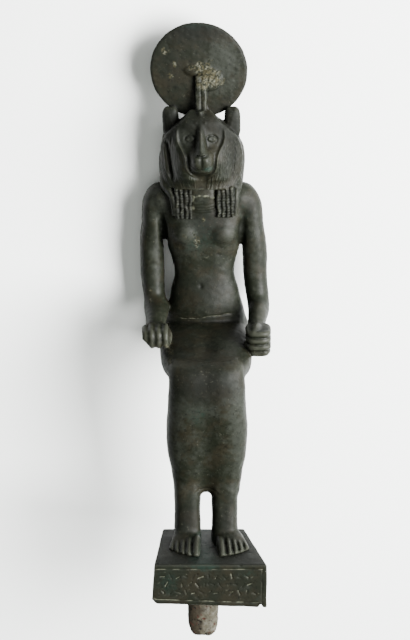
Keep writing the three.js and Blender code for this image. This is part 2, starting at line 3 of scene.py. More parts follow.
import bpy
import numpy as np
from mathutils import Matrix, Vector


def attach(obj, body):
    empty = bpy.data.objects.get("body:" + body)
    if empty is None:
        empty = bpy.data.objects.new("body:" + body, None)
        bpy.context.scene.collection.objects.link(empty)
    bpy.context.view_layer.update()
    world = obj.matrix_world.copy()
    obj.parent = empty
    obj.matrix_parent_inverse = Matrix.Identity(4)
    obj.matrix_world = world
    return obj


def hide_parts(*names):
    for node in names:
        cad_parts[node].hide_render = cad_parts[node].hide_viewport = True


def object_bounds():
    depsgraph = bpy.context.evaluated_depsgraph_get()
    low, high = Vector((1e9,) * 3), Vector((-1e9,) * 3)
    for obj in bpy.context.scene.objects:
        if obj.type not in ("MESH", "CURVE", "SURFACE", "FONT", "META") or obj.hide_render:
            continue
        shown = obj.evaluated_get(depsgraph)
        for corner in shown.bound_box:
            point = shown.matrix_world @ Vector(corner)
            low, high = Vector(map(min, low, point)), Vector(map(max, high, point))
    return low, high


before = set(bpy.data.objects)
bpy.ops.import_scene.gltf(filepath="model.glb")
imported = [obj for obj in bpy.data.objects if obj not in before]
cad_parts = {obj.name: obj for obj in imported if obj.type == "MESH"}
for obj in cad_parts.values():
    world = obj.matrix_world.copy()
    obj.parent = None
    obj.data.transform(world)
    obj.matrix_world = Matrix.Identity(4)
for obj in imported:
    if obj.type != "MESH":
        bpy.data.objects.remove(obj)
cad_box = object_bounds()

# The body: trunk, arms, lap and lower legs in a close dress, cast in bronze in one with the
# head and the plinth. The wax was modelled by hand, so its forms swell and run together, and
# the collar's lines, the belly's crease, the dress's edge, fingers and toes are cut in.

MM = 0.001
CAD_MIDDLE = np.array([0.3505, -15.3, 12.0])  # the CAD's origin, from the seat between the legs
LEAN = 0.027  # the trunk leans to the viewer's left above the hips
MIDDLE_LINE = 0.35
COLLAR_MIDDLE = 0.6
BACK_PLANE = -12.0
BODY_VOXEL = 0.4

LAP_TOP = 15.5
LAP_LENGTH = 46.5
SHIN_HALF_WIDTH = 14.6
SHIN_BACK = 31.0
SOLE = -65.4
HEEL = 28.8
ANKLE_HALF_WIDTH = 5.15
ANKLE_MIDDLE = 7.35
ELBOW_HALF_SPAN = 20.3
ARM_RADIUS = 4.75


def between(rows, places):
    """The rows at places from 0 to 1, on a smooth curve through them."""
    rows = np.asarray(rows, float)
    span = np.clip(np.asarray(places, float), 0, 1) * (len(rows) - 1)
    i = np.minimum(span.astype(int), len(rows) - 2)
    f = (span - i)[:, None]
    a, b, c = rows[np.maximum(i - 1, 0)], rows[i], rows[i + 1]
    d = rows[np.minimum(i + 2, len(rows) - 1)]
    turn = (2 * a - 5 * b + 4 * c - d) * f**2 + (3 * b - 3 * c + d - a) * f**3
    return (2 * b + (c - a) * f + turn) / 2


def power(value, exponent):
    return np.sign(value) * np.abs(value) ** exponent


def around(count):
    """Angles all the way round a section, in a row."""
    return np.linspace(0, 2 * math.pi, count, endpoint=False)[None, :]


def oval(turns, half, front, back, squareness):
    """A section's outline, from round at a squareness of 2 to nearly square."""
    c, s = np.cos(turns), np.sin(turns)
    depth = np.where(s > 0, front, back)
    return half * power(c, 2 / squareness), depth * power(s, 2 / squareness)


def skin(rings):
    """Points and triangles of a closed skin over rings, with a fan over each end."""
    rows, count = rings.shape[:2]
    points = np.concatenate([rings.reshape(-1, 3), [rings[0].mean(0), rings[-1].mean(0)]])
    a = np.arange((rows - 1) * count)
    b = np.where(a % count == count - 1, a + 1 - count, a + 1)
    sides = np.concatenate([np.stack([a, b, a + count], 1), np.stack([b, b + count, a + count], 1)])
    k = np.arange(count)
    turn = (k + 1) % count
    last = (rows - 1) * count
    low = np.stack([np.full(count, rows * count), turn, k], 1)
    high = np.stack([np.full(count, rows * count + 1), last + k, last + turn], 1)
    return points, np.concatenate([sides, low, high])


def column(rows, squareness=2.3, middle=0.0, sides=96, steps=100, carve=None):
    """Level sections up the figure: each row is height, half width, front and back."""
    y, half, front, back = (v[:, None] for v in between(rows, np.linspace(0, 1, steps)).T)
    turns = around(sides)
    x, z = oval(turns, half, (front - back) / 2, (front - back) / 2, squareness)
    rings = np.stack([middle + x, y + 0 * x, (front + back) / 2 + z], -1)
    return skin(carve(rings, turns) if carve else rings)


def limb(rows, squareness=2.0, sides=40, steps=90):
    """Round sections strung on a path: each row is x, y, z, half width and half depth."""
    places = np.linspace(0, 1, steps)
    path = between(rows, places)
    along = between(rows, places + 0.02)[:, :3] - between(rows, places - 0.02)[:, :3]
    along /= np.linalg.norm(along, axis=1)[:, None]
    deep = np.cross(along, [1.0, 0.0, 0.0])
    deep /= np.linalg.norm(deep, axis=1)[:, None]
    wide = np.cross(deep, along)
    turns = around(sides)
    u, w = oval(turns, path[:, 3:4], path[:, 4:5], path[:, 4:5], squareness)
    return skin(path[:, None, :3] + u[..., None] * wide[:, None] + w[..., None] * deep[:, None])


def ball(centre, radii, sides=40, shape=None):
    """An egg of these radii, which a shape may change while it is still a unit ball."""
    lift = np.linspace(-math.pi / 2, math.pi / 2, sides // 2)[1:-1, None]
    turns = around(sides)
    level = np.cos(lift)
    rings = np.stack([level * np.cos(turns), np.sin(lift) + 0 * turns, level * np.sin(turns)], -1)
    rings = shape(rings) if shape else rings
    return skin(rings * np.array(radii) + np.array(centre))


def bump(distance, reach):
    """1 at no distance, dying away smoothly past the reach."""
    return np.exp(-((distance / reach) ** 2))


def ramp(value, start, end):
    """0 before the start and 1 past the end, with a smooth rise between them."""
    share = np.clip((value - start) / (end - start), 0, 1)
    return share * share * (3 - 2 * share)


def rolls(places, count):
    """0 in the cuts between rounded rolls, such as fingers, and 1 on top of each."""
    return np.abs(np.sin(math.pi * places * count)) ** 0.7


def trunk():
    rows = [
        [1.5, 15.2, 7, -11.2],
        [8.5, 17.4, 8, -12],
        [15.5, 15.8, 8, -10.6],
        [25.5, 13.6, 7.6, -7.6],
        [35.5, 11.9, 7, -6.6],
        [47.8, 15.3, 8, -7.6],
        [54.8, 16.5, 8.6, -8.8],
        [64.5, 17, 7.4, -8.4],
        [69.2, 14.5, 4.5, -6],
        [72, 9, 3, -4.5],
    ]

    def belly(rings, turns):
        x, y, z = rings[..., 0], rings[..., 1], rings[..., 2]
        rings[..., 2] += ramp(z, 0, 4) * 1.5 * bump(x, 8) * bump(y - 21, 7)
        rings[..., 2] += ramp(-z, 0, 4) * 0.9 * bump(x, 2.2) * ramp(y, 16, 24) * ramp(60 - y, 0, 12)
        return rings

    return [column(rows, middle=0.3, sides=120, carve=belly)]


def chest():
    """Small low breasts, the flat of a broad collar, and full fronts to the shoulders."""
    collar = limb([
        [COLLAR_MIDDLE, 71, 5.2, 5.6, 3.6],
        [COLLAR_MIDDLE, 65, 5.8, 5.4, 3.5],
        [COLLAR_MIDDLE, 59.4, 5.4, 4.6, 2.9],
    ], 3, sides=64)
    breasts = [ball([side * 6.9 + 0.5, 51.7, 1.4], [7.3, 6.7, 8.3], 48) for side in (-1, 1)]
    shoulders = [ball([side * 14.6, 63.3, 0], [6, 6.2, 5.2], 48) for side in (-1, 1)]
    return breasts + shoulders + [collar]


def lap():
    rows = [
        [BACK_PLANE, 13.6, 11.5, 2.4],
        [-9, 16.6, 14, 0],
        [0, 17.8, 15.5, 0],
        [10.2, 18, 14.9, 0],
        [20.9, 18.1, 13.3, 0],
        [30.7, 17.3, 12.1, -0.5],
        [37.2, 15.6, 11.1, 0],
        [41.9, 13.6, 9.8, 1],
        [44.4, 9.6, 7.4, 3],
    ]
    z, half, top, bottom = (v[:, None] for v in between(rows, np.linspace(0, 1, 110)).T)
    middle = (top + bottom) / 2
    turns = around(120)
    x, y = oval(turns, half, top - middle, middle - bottom, 2.4 + 0.35 * ramp(z, 0, 14))
    valley = 0.9 * ramp(z, 6, 32) * bump(x, 3) * ramp(y, 0, 4)
    return [skin(np.stack([x + 0.25, middle + y - valley, z + 0 * x], -1))]


def shins():
    rows = [
        [LAP_TOP - 4.9, -2.4, -6.4, 3],
        [LAP_TOP - 7, -0.6, -2.2, 1.5],
        [LAP_TOP - 12, 0.1, 0, 0],
        [-7.8, 0.65, -0.2, -1],
        [-19.6, 1.35, -2.2, -2.2],
        [-29.4, 0.75, -4, -2.2],
        [-37.9, -0.7, -5.2, -1.6],
        [-44.3, -1.7, -6.4, -1.2],
    ]
    rows = np.array(rows) + [0, SHIN_HALF_WIDTH, LAP_LENGTH, SHIN_BACK]

    def knees(rings, turns):
        x, y, z = rings[..., 0], rings[..., 1], rings[..., 2]
        valley = (0.5 + 0.5 * ramp(-y, 0, 20) + 1.5 * ramp(-y, 26, 44)) * bump(x, 4.4)
        rings[..., 2] -= ramp(z, 36, 39) * valley * ramp(12 - y, 0, 6)
        rings[..., 1] -= ramp(-y, 42, 44.4) * (0.6 + 1.8 * np.minimum((x / 2.9) ** 2, 1))
        return rings

    return [column(rows, 2.8, middle=MIDDLE_LINE, sides=120, carve=knees)]


def arm(side, wrist, inward):
    """An arm bent at the elbow; inward is how far its lower end turns in to touch the hip."""
    x = side * ELBOW_HALF_SPAN
    return limb([
        [side * 12, 68.2, -1.4, 1.4, 2.4],
        [side * 15.5, 66, -1.6, 4.8, 4.6],
        [side * 18.4, 61.4, -1.6, 5.1, 5.6],
        [side * 19.4, 52.8, -1.5, ARM_RADIUS + 0.1, ARM_RADIUS + 0.5],
        [x + side * 0.15, 42.4, -1.4, ARM_RADIUS + 0.2, ARM_RADIUS + 0.3],
        [x + side * 0.1, 32.5, -1.4, ARM_RADIUS + 0.1, ARM_RADIUS],
        [x + side * (0.8 - inward * 1.1), 24, -0.6, ARM_RADIUS - 0.1 - inward * 0.3, ARM_RADIUS - 0.2],
        [x + side * (1.2 - inward * 2.2), 19.9, 3.4, ARM_RADIUS - 0.3 + inward * 0.6, ARM_RADIUS - 0.4],
        [x + side * (0.5 - inward * 1.6), 18.1, 10.7, ARM_RADIUS - 0.9 + inward * 0.6, ARM_RADIUS - 0.6],
        [x - side * inward * 0.5, (17.5 + wrist) / 2, 17.1, ARM_RADIUS - 1.2, ARM_RADIUS - 1.1],
        [x - side * 0.4, wrist, 22.4, ARM_RADIUS - 1.3, ARM_RADIUS - 1.2],
    ], sides=56, steps=160)


def fingers(centre, reach, thick, across, turn_axis, count=4):
    """Fingers bent over side by side, as one roll cut between each two; the last is the least."""
    places = np.linspace(0.02, 0.98, 110)[:, None]
    turns = around(64)
    little = ramp(places, 0.66, 1)
    pinch = 0.8 * (1 - rolls(places, count)) + 0.9 * little
    u, w = oval(turns, reach - pinch, thick - pinch, thick - pinch, 2.8)
    run = (places - 0.5) * across + 0 * u
    if turn_axis == "x":
        curled = np.where(w < 0, w * (1 - 0.95 * little), w)
        return skin(np.stack([-run, curled, u], -1) + np.array(centre))
    return skin(np.stack([u, -run, w], -1) + np.array(centre))


def fists():
    left, right, z = -ELBOW_HALF_SPAN + 0.9, ELBOW_HALF_SPAN + 0.3, 23.25
    top, peak = LAP_TOP + 4.6, LAP_TOP + 2.9
    flat = [
        fingers([left, LAP_TOP + 0.1, z + 2], 5.6, 4.5, 10.6, "x"),
        limb([[left, top - 4, z - 6, 3.6, 3.2], [left, top - 4.2, z - 2, 4.4, 4],
              [left, top - 4.4, z + 3, 4.4, 4]], 2.6),
        limb([[left + 4, top - 3.2, z - 3, 1.5, 1.5], [left + 5.4, top - 4.6, z + 1.5, 1.5, 1.6],
              [left + 5, top - 6.8, z + 5, 1.2, 1.2]]),
    ]
    upright = [
        fingers([right + 0.3, peak - 5.2, z], 5.2, 6.2, 11, "y"),
        limb([[right + 0.1, peak - 3.8, z - 6.5, 3.2, 3.4], [right + 0.4, peak - 4.6, z - 3, 3.6, 4.8],
              [right + 0.4, peak - 4.6, z, 3.4, 4.6]], 2.6),
        limb([[right, peak - 1.6, z - 5, 2, 1.9], [right - 0.6, peak - 0.3, z - 0.5, 2, 1.5],
              [right - 1.2, peak - 0.4, z + 3.4, 1.8, 1.2], [right - 1.6, peak - 0.8, z + 5.8, 1.2, 0.8]]),
    ]
    return flat + upright


def foot(side, turnout):
    x = side * ANKLE_MIDDLE
    rows = [
        [-37, -0.6, -0.9, 3],
        [-43, 0.1, 0.1, 1],
        [-51.5, 0, 0.2, 0.6],
        [-56.2, 0, 0.6, 0.6],
        [SOLE + 5, 0.1, 1.2, 0.2],
        [SOLE + 3, 0.1, 2.4, 0],
        [SOLE + 1.2, 0.2, 4.8, 0],
        [SOLE - 0.8, 0, 6, 0.2],
    ]
    rows = np.array(rows) + [0, ANKLE_HALF_WIDTH, HEEL + 11.5, HEEL]
    ankle = column(rows, 2.9, middle=x, sides=64)
    sole = limb([
        [x, SOLE + 7, HEEL + 2, 3.8, 4],
        [x + side * turnout * 0.2, SOLE + 2.6, HEEL + 8.4, 4.7, 3.3],
        [x + side * turnout * 0.5, SOLE + 1.3, HEEL + 13.8, 5.4, 2.6],
        [x + side * turnout * 0.8, SOLE + 0.4, HEEL + 18.9, 5.7, 1.5],
    ], 2.5)
    widths = np.array([3.3, 2.5, 2.3, 2.2, 2])
    edges = np.concatenate([[0], np.cumsum(widths)])
    run = np.linspace(0.05, edges[-1] - 0.05, 150)
    toe = np.searchsorted(edges, run) - 1
    share = (run - edges[toe]) / widths[toe]
    cut = 1 - np.minimum(1.15 * np.abs(np.sin(math.pi * share))[:, None] ** 0.8, 1)
    reach = (7.4 - 0.3 * run / 2.5)[:, None]
    tip = (HEEL + 26.8 - 0.048 * run**2)[:, None] - 1.2 * cut
    turns = around(56)
    z, level = oval(turns, reach, 1, 1, 2.8)
    height = (2.9 - 0.05 * run)[:, None] + 0.14 * (reach - z) - 2 * cut
    fan = 1 - 0.012 * (reach - z) * (run[:, None] / 6 - 1)
    across = x + side * (turnout * 0.85 * (0.6 + 0.4 * (z + reach) / (2 * reach)) - 6.1 + run[:, None] * fan)
    return [ankle, sole, skin(np.stack([across, SOLE - 0.5 + height / 2 * (1 + level), tip - reach + z], -1))]


def new_object(name, data):
    thing = bpy.data.objects.new(name, data)
    bpy.context.scene.collection.objects.link(thing)
    return thing


def finished_mesh(thing):
    """The mesh that an object's modifiers make of it; the object itself is taken away."""
    mesh = bpy.data.meshes.new_from_object(thing.evaluated_get(bpy.context.evaluated_depsgraph_get()))
    bpy.data.objects.remove(thing)
    return mesh


def read(items, field, width=3, kind=float):
    """One field of a mesh's points or corners, a row for each."""
    values = np.empty(width * len(items), kind)
    items.foreach_get(field, values)
    return values.reshape(-1, width)


def remeshed(shells, voxel):
    """All the shells run together into one even skin of quads: points and faces."""
    starts = np.cumsum([0] + [len(points) for points, _ in shells[:-1]])
    faces = np.concatenate([faces + start for (_, faces), start in zip(shells, starts)])
    mesh = bpy.data.meshes.new("wax")
    mesh.from_pydata(np.concatenate([points for points, _ in shells]).tolist(), [], faces.tolist())
    wax = new_object("wax", mesh)
    blend = wax.modifiers.new("blend", "REMESH")
    blend.mode = "VOXEL"
    blend.voxel_size = voxel
    blend.adaptivity = 0
    even = finished_mesh(wax)
    return read(even.vertices, "co"), read(even.loops, "vertex_index", 1, int).reshape(-1, 4)


def neighbours(points, faces):
    """Every edge's two points, and how many edges meet at each point."""
    sides = np.concatenate([faces[:, [k, (k + 1) % 4]] for k in range(4)])
    edges = np.unique(np.sort(sides, axis=1), axis=0)
    return edges, np.bincount(edges.ravel(), minlength=len(points))[:, None]


def averaged(values, edges, count):
    """Each point's values, averaged over the points round it."""
    sums = [
        np.bincount(edges[:, 0], v[edges[:, 1]], len(v)) + np.bincount(edges[:, 1], v[edges[:, 0]], len(v))
        for v in values.T
    ]
    return np.stack(sums, 1) / count


def softened(points, faces, rounds, keep=1.0):
    """Creases between the shells run together, as in wax; a lower keep holds a place as it is."""
    edges, count = neighbours(points, faces)
    for _ in range(rounds):
        points = points + 0.5 * keep * (averaged(points, edges, count) - points)
    return points


def outward(points, faces):
    """The direction out of the surface at each point."""
    a, b, c, d = (points[faces[:, k]] for k in range(4))
    flat = np.cross(c - a, d - b)
    out = np.zeros_like(points)
    for k in range(4):
        for axis in range(3):
            out[:, axis] += np.bincount(faces[:, k], flat[:, axis], len(points))
    return out / np.maximum(np.linalg.norm(out, axis=1), 1e-9)[:, None]


def waviness(points, size, seed, waves=36):
    """Smooth hand-made unevenness from about -1 to 1, in swells of about this size."""
    rng = np.random.default_rng(seed)
    ways = rng.normal(size=(waves, 3))
    ways *= (2 * math.pi / size) * rng.uniform(0.6, 1.3, (waves, 1)) / np.linalg.norm(ways, axis=1)[:, None]
    return np.sin(points @ ways.T + rng.uniform(0, 2 * math.pi, waves)).sum(1) / math.sqrt(waves)


def pitted(points, faces, count, seed, depth=0.22, where=None):
    """Small round pits where the casting is eaten."""
    rng = np.random.default_rng(seed)
    out = outward(points, faces)
    chosen = np.flatnonzero(where(points)) if where else np.arange(len(points))
    sink = np.zeros(len(points))
    for k in rng.choice(chosen, count, replace=False):
        radius = rng.uniform(0.35, 0.9)
        away = np.linalg.norm(points - points[k], axis=1)
        sink = np.maximum(sink, depth * rng.uniform(0.4, 1) * bump(away, radius))
    return points - sink[:, None] * out


arms = [arm(-1, LAP_TOP + 0.6, 1), arm(1, LAP_TOP - 0.6, 0)]
feet = foot(-1, 1.4) + foot(1, 4.3)
body_points, body_faces = remeshed(trunk() + chest() + lap() + shins() + arms + fists() + feet, BODY_VOXEL)
bx, by, bz = body_points.T
at_fists = ramp(np.abs(bx), 13, 15) * ramp(bz, 14, 17) * ramp(by, 3, 6)
at_toes = ramp(-by, -SOLE - 9, -SOLE - 7) * ramp(bz, HEEL + 12, HEEL + 15)
detail = np.maximum(at_toes, at_fists)
body_points = softened(body_points, body_faces, 26, (1 - 0.92 * detail)[:, None])


def collar_arc(x, y):
    return bump(y - 67.7 + 0.05 * (x - COLLAR_MIDDLE) ** 2 + 0.1 * np.sin(2.1 * x), 0.5)


def belly_crease(x, y, z):
    wave = y - 17.3 - 0.1 * x - 0.25 * np.sin(x / 2.6 + 0.5) - 0.15 * np.sin(x / 1.1)
    return bump(wave, 0.26) * ramp(z, 5, 6.5) * ramp(15 - z, 0, 2) * ramp(13 - np.abs(x), 0, 3)


body_out = outward(body_points, body_faces)
bx, by, bz = body_points.T
facing = ramp(bz, 2, 5)
panel = facing * ramp(5 - np.abs(bx - COLLAR_MIDDLE), 0, 1)
navel = bump(np.hypot(bx + 1.2, (by - 29.8) * 0.9), 0.8)
carved = 0.5 * navel * facing + 0.3 * belly_crease(bx, by, bz)
carved -= 0.25 * panel * collar_arc(bx, by) * (0.6 + 0.4 * np.sin(bx * 6))
for line in range(4):
    carved += 0.14 * panel * bump(by - 60.4 - 1.15 * line - 0.02 * bx**2, 0.28)
aside = bx - MIDDLE_LINE
hem = bump(by + 43.5 + 0.06 * aside**2, 0.4) * ramp(5 - np.abs(aside), 0, 2) * ramp(bz, 33, 36)
carved += 0.2 * hem
armpit = bump(np.abs(bx + 0.1) - 15.2 - 0.05 * (by - 46), 1.3)
armpit = armpit * ramp(by, 43, 47) * ramp(59 - by, 0, 6) * ramp(bz, -4, -1)
carved += 1.3 * armpit
body_points = body_points - carved[:, None] * body_out
body_points += body_out * (0.07 * waviness(body_points, 9, 1) + 0.03 * waviness(body_points, 2.6, 2))[:, None]
body_points = pitted(body_points, body_faces, 130, 3, 0.14)
body_points[:, 2] = np.maximum(body_points[:, 2], BACK_PLANE)


def hollows(points, faces, rounds=10, full=0.16):
    """1 in a hollow, -1 on a ridge or an edge, 0 where the surface is even."""
    edges, count = neighbours(points, faces)
    soft = points
    for _ in range(rounds):
        soft = averaged(soft, edges, count)
    rise = np.einsum("ij,ij->i", soft - points, outward(points, faces))
    return np.clip(rise / full, -1, 1)


class Finish:
    """A surface's material, made of masks and of colours laid one over another."""

    def __init__(self, name):
        self.material = bpy.data.materials.new(name)
        self.material.use_nodes = True
        self.tree = self.material.node_tree
        self.tree.nodes.clear()
        self.shader = self.tree.nodes.new("ShaderNodeBsdfPrincipled")
        surface = self.tree.nodes.new("ShaderNodeOutputMaterial").inputs["Surface"]
        self.tree.links.new(self.shader.outputs["BSDF"], surface)

    def feed(self, value, socket):
        """Links a value made by another node, or sets a plain number or colour."""
        if isinstance(value, bpy.types.NodeSocket):
            self.tree.links.new(value, socket)
        else:
            socket.default_value = (*value, 1) if isinstance(value, tuple) else value

    def node(self, kind, result, inputs=None, **settings):
        """The named result of a new node with these settings and inputs."""
        step = self.tree.nodes.new("ShaderNode" + kind)
        for name, value in settings.items():
            setattr(step, name, value)
        for label, value in (inputs or {}).items():
            self.feed(value, step.inputs[label])
        return step.outputs[result]

    def times(self, a, b):
        return self.node("Math", "Value", {0: a, 1: b}, operation="MULTIPLY")

    def plus(self, a, b):
        return self.node("Math", "Value", {0: a, 1: b}, operation="ADD")

    def spread(self, value, low, high, most=1.0):
        """0 below the first value, and the most above the second."""
        ends = {"Value": value, "From Min": low, "From Max": high, "To Max": most}
        return self.node("MapRange", "Result", ends, interpolation_type="SMOOTHSTEP")

    def mark(self, name):
        """A mark that the piece's points carry."""
        return self.node("Attribute", "Fac", attribute_name=name)

    def clouds(self, size, detail=4.0, roughness=0.6, distortion=0.0):
        """Noise in clouds of about this many millimetres."""
        return self.node("TexNoise", "Fac", {
            "Vector": self.node("TexCoord", "Object"), "Scale": 1 / (size * MM),
            "Detail": detail, "Roughness": roughness, "Distortion": distortion,
        })

    def layered(self, colour, coats):
        """The colour under these coats, each a colour and how far it covers, from 0 to 1."""
        for coat, share in coats:
            mixed = {"A": colour, "B": coat, "Factor": share}
            colour = self.node("Mix", "Result", mixed, data_type="RGBA")
        return colour

    def shaded(self, values):
        """Feeds the shader's own sockets."""
        for label, value in values.items():
            self.feed(value, self.shader.inputs[label])

    def grained(self, size, strength, depth=0.15):
        grain = {"Height": self.clouds(size, 6, 0.7), "Strength": strength, "Distance": depth * MM}
        self.shaded({"Normal": self.node("Bump", "Normal", grain)})


# Its skin: dark olive brown with grey-green patina in clouds, grime in the hollows, rubbed
# ridges, pale dust in the cut lines, and speckled crust where salts came through. The grime's
# colour also paints shade where a piece is marked dark, and the head's wear marks paint light and shade.
OLIVE, BROWN, GREY = (0.0043, 0.0052, 0.003), (0.0072, 0.0067, 0.0038), (0.0105, 0.0118, 0.009)
GREEN, GRIME_AND_SHADE, RUBBED = (0.0052, 0.0105, 0.0076), (0.0013, 0.0016, 0.001), (0.015, 0.016, 0.0115)
DUST, OCHRE, PALE = (0.045, 0.047, 0.033), (0.021, 0.019, 0.0095), (0.054, 0.054, 0.04)

patina = Finish("bronze")
bronze = patina.material
hollow, dark = patina.mark("hollow"), patina.mark("dark")
# Grey patina in clouds, raised where a piece is marked worn; on the head this also paints light and shade.
greyed = patina.plus(patina.clouds(4, 7, 0.7), patina.times(patina.mark("worn"), 0.4))
greened = patina.plus(patina.mark("green"), patina.times(patina.clouds(12, 5, 0.6, 0.6), 0.7))
greened = patina.times(greened, patina.clouds(1.6, 6, 0.75))
specks = patina.spread(patina.clouds(0.9, 4, 0.75), 0.6, 0.7, 0.45)
specks = patina.times(specks, patina.spread(patina.clouds(6, 3), 0.42, 0.56))
dusty = patina.times(patina.mark("dust"), patina.clouds(1.1, 5, 0.7))
flecks = patina.times(patina.plus(patina.clouds(0.9, 6, 0.75), -0.5), 2.2)
flecks = patina.plus(flecks, patina.times(patina.clouds(2.6, 3), 1.6))
crusted = patina.spread(patina.plus(patina.mark("crust"), flecks), 1.3, 1.5)
crust = patina.layered(OCHRE, [
    (PALE, patina.spread(patina.clouds(1.6, 5, 0.75), 0.46, 0.62)),
    (OLIVE, patina.spread(patina.clouds(0.9, 5, 0.75), 0.49, 0.56)),
])
patina_colour = patina.layered(OLIVE, [
    (BROWN, patina.spread(patina.clouds(9), 0.42, 0.62)),
    (GREY, patina.spread(greyed, 0.5, 0.8)),
    (GREEN, patina.spread(greened, 0.3, 0.7)),
    (GRIME_AND_SHADE, patina.spread(patina.clouds(1.5, 6, 0.8), 0.5, 0.66, 0.75)),
    (GRIME_AND_SHADE, patina.spread(hollow, 0.15, 1, 0.6)),
    (RUBBED, patina.spread(patina.times(hollow, -1), 0.25, 1.2)),
    # Painted shade: the grime's colour laid where a piece is marked dark.
    (GRIME_AND_SHADE, patina.spread(dark, 0, 1, 0.7)),
    (PALE, specks),
    (DUST, patina.spread(dusty, 0.15, 0.5)),
    (crust, crusted),
])
dull = patina.plus(patina.times(patina.clouds(2.4, 5), 0.3), patina.times(crusted, 0.35))
dull = patina.plus(patina.plus(dull, patina.times(dark, 0.2)), 0.32)
patina.shaded({"Base Color": patina_colour, "Roughness": dull, "Specular IOR Level": 0.08})
patina.grained(0.8, 0.35)


def thinned(mesh, most_triangles=196000):
    """The same skin with fewer faces where it is smooth, if it has more triangles than this."""
    if 2 * len(mesh.polygons) <= most_triangles:
        return mesh
    fine = new_object("fine", mesh)
    fine.modifiers.new("thin", "DECIMATE").ratio = most_triangles / (2 * len(mesh.polygons))
    thin = finished_mesh(fine)
    points = np.clip(read(thin.vertices, "co"), cad_box[0], cad_box[1])
    thin.vertices.foreach_set("co", points.astype(np.float32).ravel())
    return thin


def cast_piece(name, points, faces, **marks):
    """A finished piece in the frame's metres, with its marks as point attributes."""
    placed = points.copy()
    placed[:, 0] -= LEAN * np.maximum(0, points[:, 1])
    placed = np.clip((placed + CAD_MIDDLE) * MM, cad_box[0], cad_box[1])
    mesh = bpy.data.meshes.new(name)
    mesh.from_pydata(placed.tolist(), [], faces.tolist())
    for mark, values in {"hollow": hollows(points, faces), **marks}.items():
        carried = mesh.attributes.new(mark, "FLOAT", "POINT").data
        carried.foreach_set("value", np.asarray(values, np.float32))
    mesh = thinned(mesh)
    mesh.shade_smooth()
    mesh.materials.append(bronze)
    piece = new_object(name, mesh)
    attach(piece, "root")
    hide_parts("statue")
    return piece


def patches(points, places):
    """Blurred round spots, each x, y, reach across, reach up and strength."""
    x, y, _ = points.T
    spots = [s * bump(np.hypot((x - px) / rx, (y - py) / ry), 1) for px, py, rx, ry, s in places]
    return np.clip(sum(spots), -1, 1)


body_green = patches(body_points, [
    [2, 55, 8, 8, 0.45],
    [-3, 46, 8, 5, 0.4],
    [-17, 58, 4, 6, 0.4],
    [17, 60, 4, 6, 0.4],
    [-4, -10, 7, 8, 0.5],
    [0, SOLE, 9, 5, 0.9],
])
body_crust = patches(body_points, [
    [-14.5, 11, 2.6, 4, 0.8],
    [12.5, 17, 2.6, 3, 0.55],
    [-2.3, 49.5, 1.8, 4.5, 0.75],
    [-7.5, 51.5, 2.8, 2, 0.55],
    [8.5, 50.5, 2, 2, 0.55],
    [0.5, 57, 1.2, 6, 0.62],
    [-21.8, 27, 2, 1.8, 0.65],
    [-21.5, 23, 1.5, 1.5, 0.6],
    [-10, 41.5, 1.5, 1.5, 0.55],
    [-1, 30, 1.6, 1.2, 0.6],
])
body_worn = patches(body_points, [
    [-4.5, 50, 5, 7, 1.0],
    [9.5, 53, 4, 5, 0.5],
    [12.5, -20, 4, 26, 0.7],
    [-3.5, -28, 3.5, 18, 0.35],
    [19.5, 44, 2, 14, 0.5],
    [-19, 40, 2, 14, 0.4],
    [-16.5, 63, 5, 6, 0.7],
    [-12, -22, 4, 20, 0.5],
    [-2, -8, 12, 5, 0.5],
])
# Painted shade on the lap, which faces the head, and low on the ankles, where the shins' highlight is faded
# out; on the right shoulder, the belly and the chest these patches only darken the colour.
body_dark = patches(body_points, [
    [0, 3, 14, 9, 1.0],
    [19, 62, 4, 6, 0.6],
    [3, 28, 11, 9, 0.6],
    [3, 56, 9, 8, 0.75],
    [-7.5, SOLE + 9, 7, 8, 0.8],
    [8.5, SOLE + 9, 6, 8, 0.7],
])
pale_side = bump(bx + 3.4, 0.8) * ramp(by, 60, 63) * ramp(69 - by, 0, 2)
broken = 0.45 + 0.55 * ramp(waviness(body_points, 2.2, 25), -0.6, 0.6)
body_dust = 0.8 * belly_crease(bx, by, bz) + 1.1 * panel * broken * (collar_arc(bx, by) + pale_side)
cast_piece(
    "figure_body", body_points, body_faces,
    green=body_green, crust=body_crust, dust=body_dust, worn=body_worn, dark=body_dark,
)

# The head: a lioness's face framed by a ruff of fur, in a long wig whose braided lappets fall
# on the chest, with round ears, and above it a thin sun disk with a serpent on its front.
# It is cast in one with the body, and the fur, the face and the braids are cut in the wax.

HEAD_VOXEL = 0.3
SHOULDER = 70.0
CROWN = 101.0
FACE_MIDDLE = 0.45
NOSE_TIP = CROWN - 14.1
EYE = NOSE_TIP + 4.3
BROW = EYE + 4.6
MOUTH = NOSE_TIP - 6.4
NOSE_REACH = 19.4
EARS_MIDDLE = 0.85
WIG_HALF_WIDTH = 16.8
DISK_RADIUS = 18.85
DISK_MIDDLE = CROWN + 14.85
RUFF_EDGE = SHOULDER + 0.8
LAPPETS_MIDDLE = 1.1

MASK_HEIGHTS = [74.5, 76, 77.8, 80, 83, 85, 87.3, 89.5, 91.5, 94.5, 97, 99]
MASK_HALF_WIDTHS = [0.5, 2.6, 4.8, 5.9, 6.2, 6.5, 7.4, 8.7, 9.4, 9.4, 8.4, 6.5]


def eased(y, heights, values):
    """Values between the given ones, with the corners rounded off."""
    fine = np.linspace(heights[0], heights[-1], 240)
    straight = np.pad(np.interp(fine, heights, values), 14, "edge")
    return np.interp(y, fine, np.convolve(straight, np.hanning(31)[1:-1] / 15, "valid"))


def mask_half(y):
    """Half the width of the bare face: broad at the eyes, narrow at the muzzle."""
    return eased(y, MASK_HEIGHTS, MASK_HALF_WIDTHS)


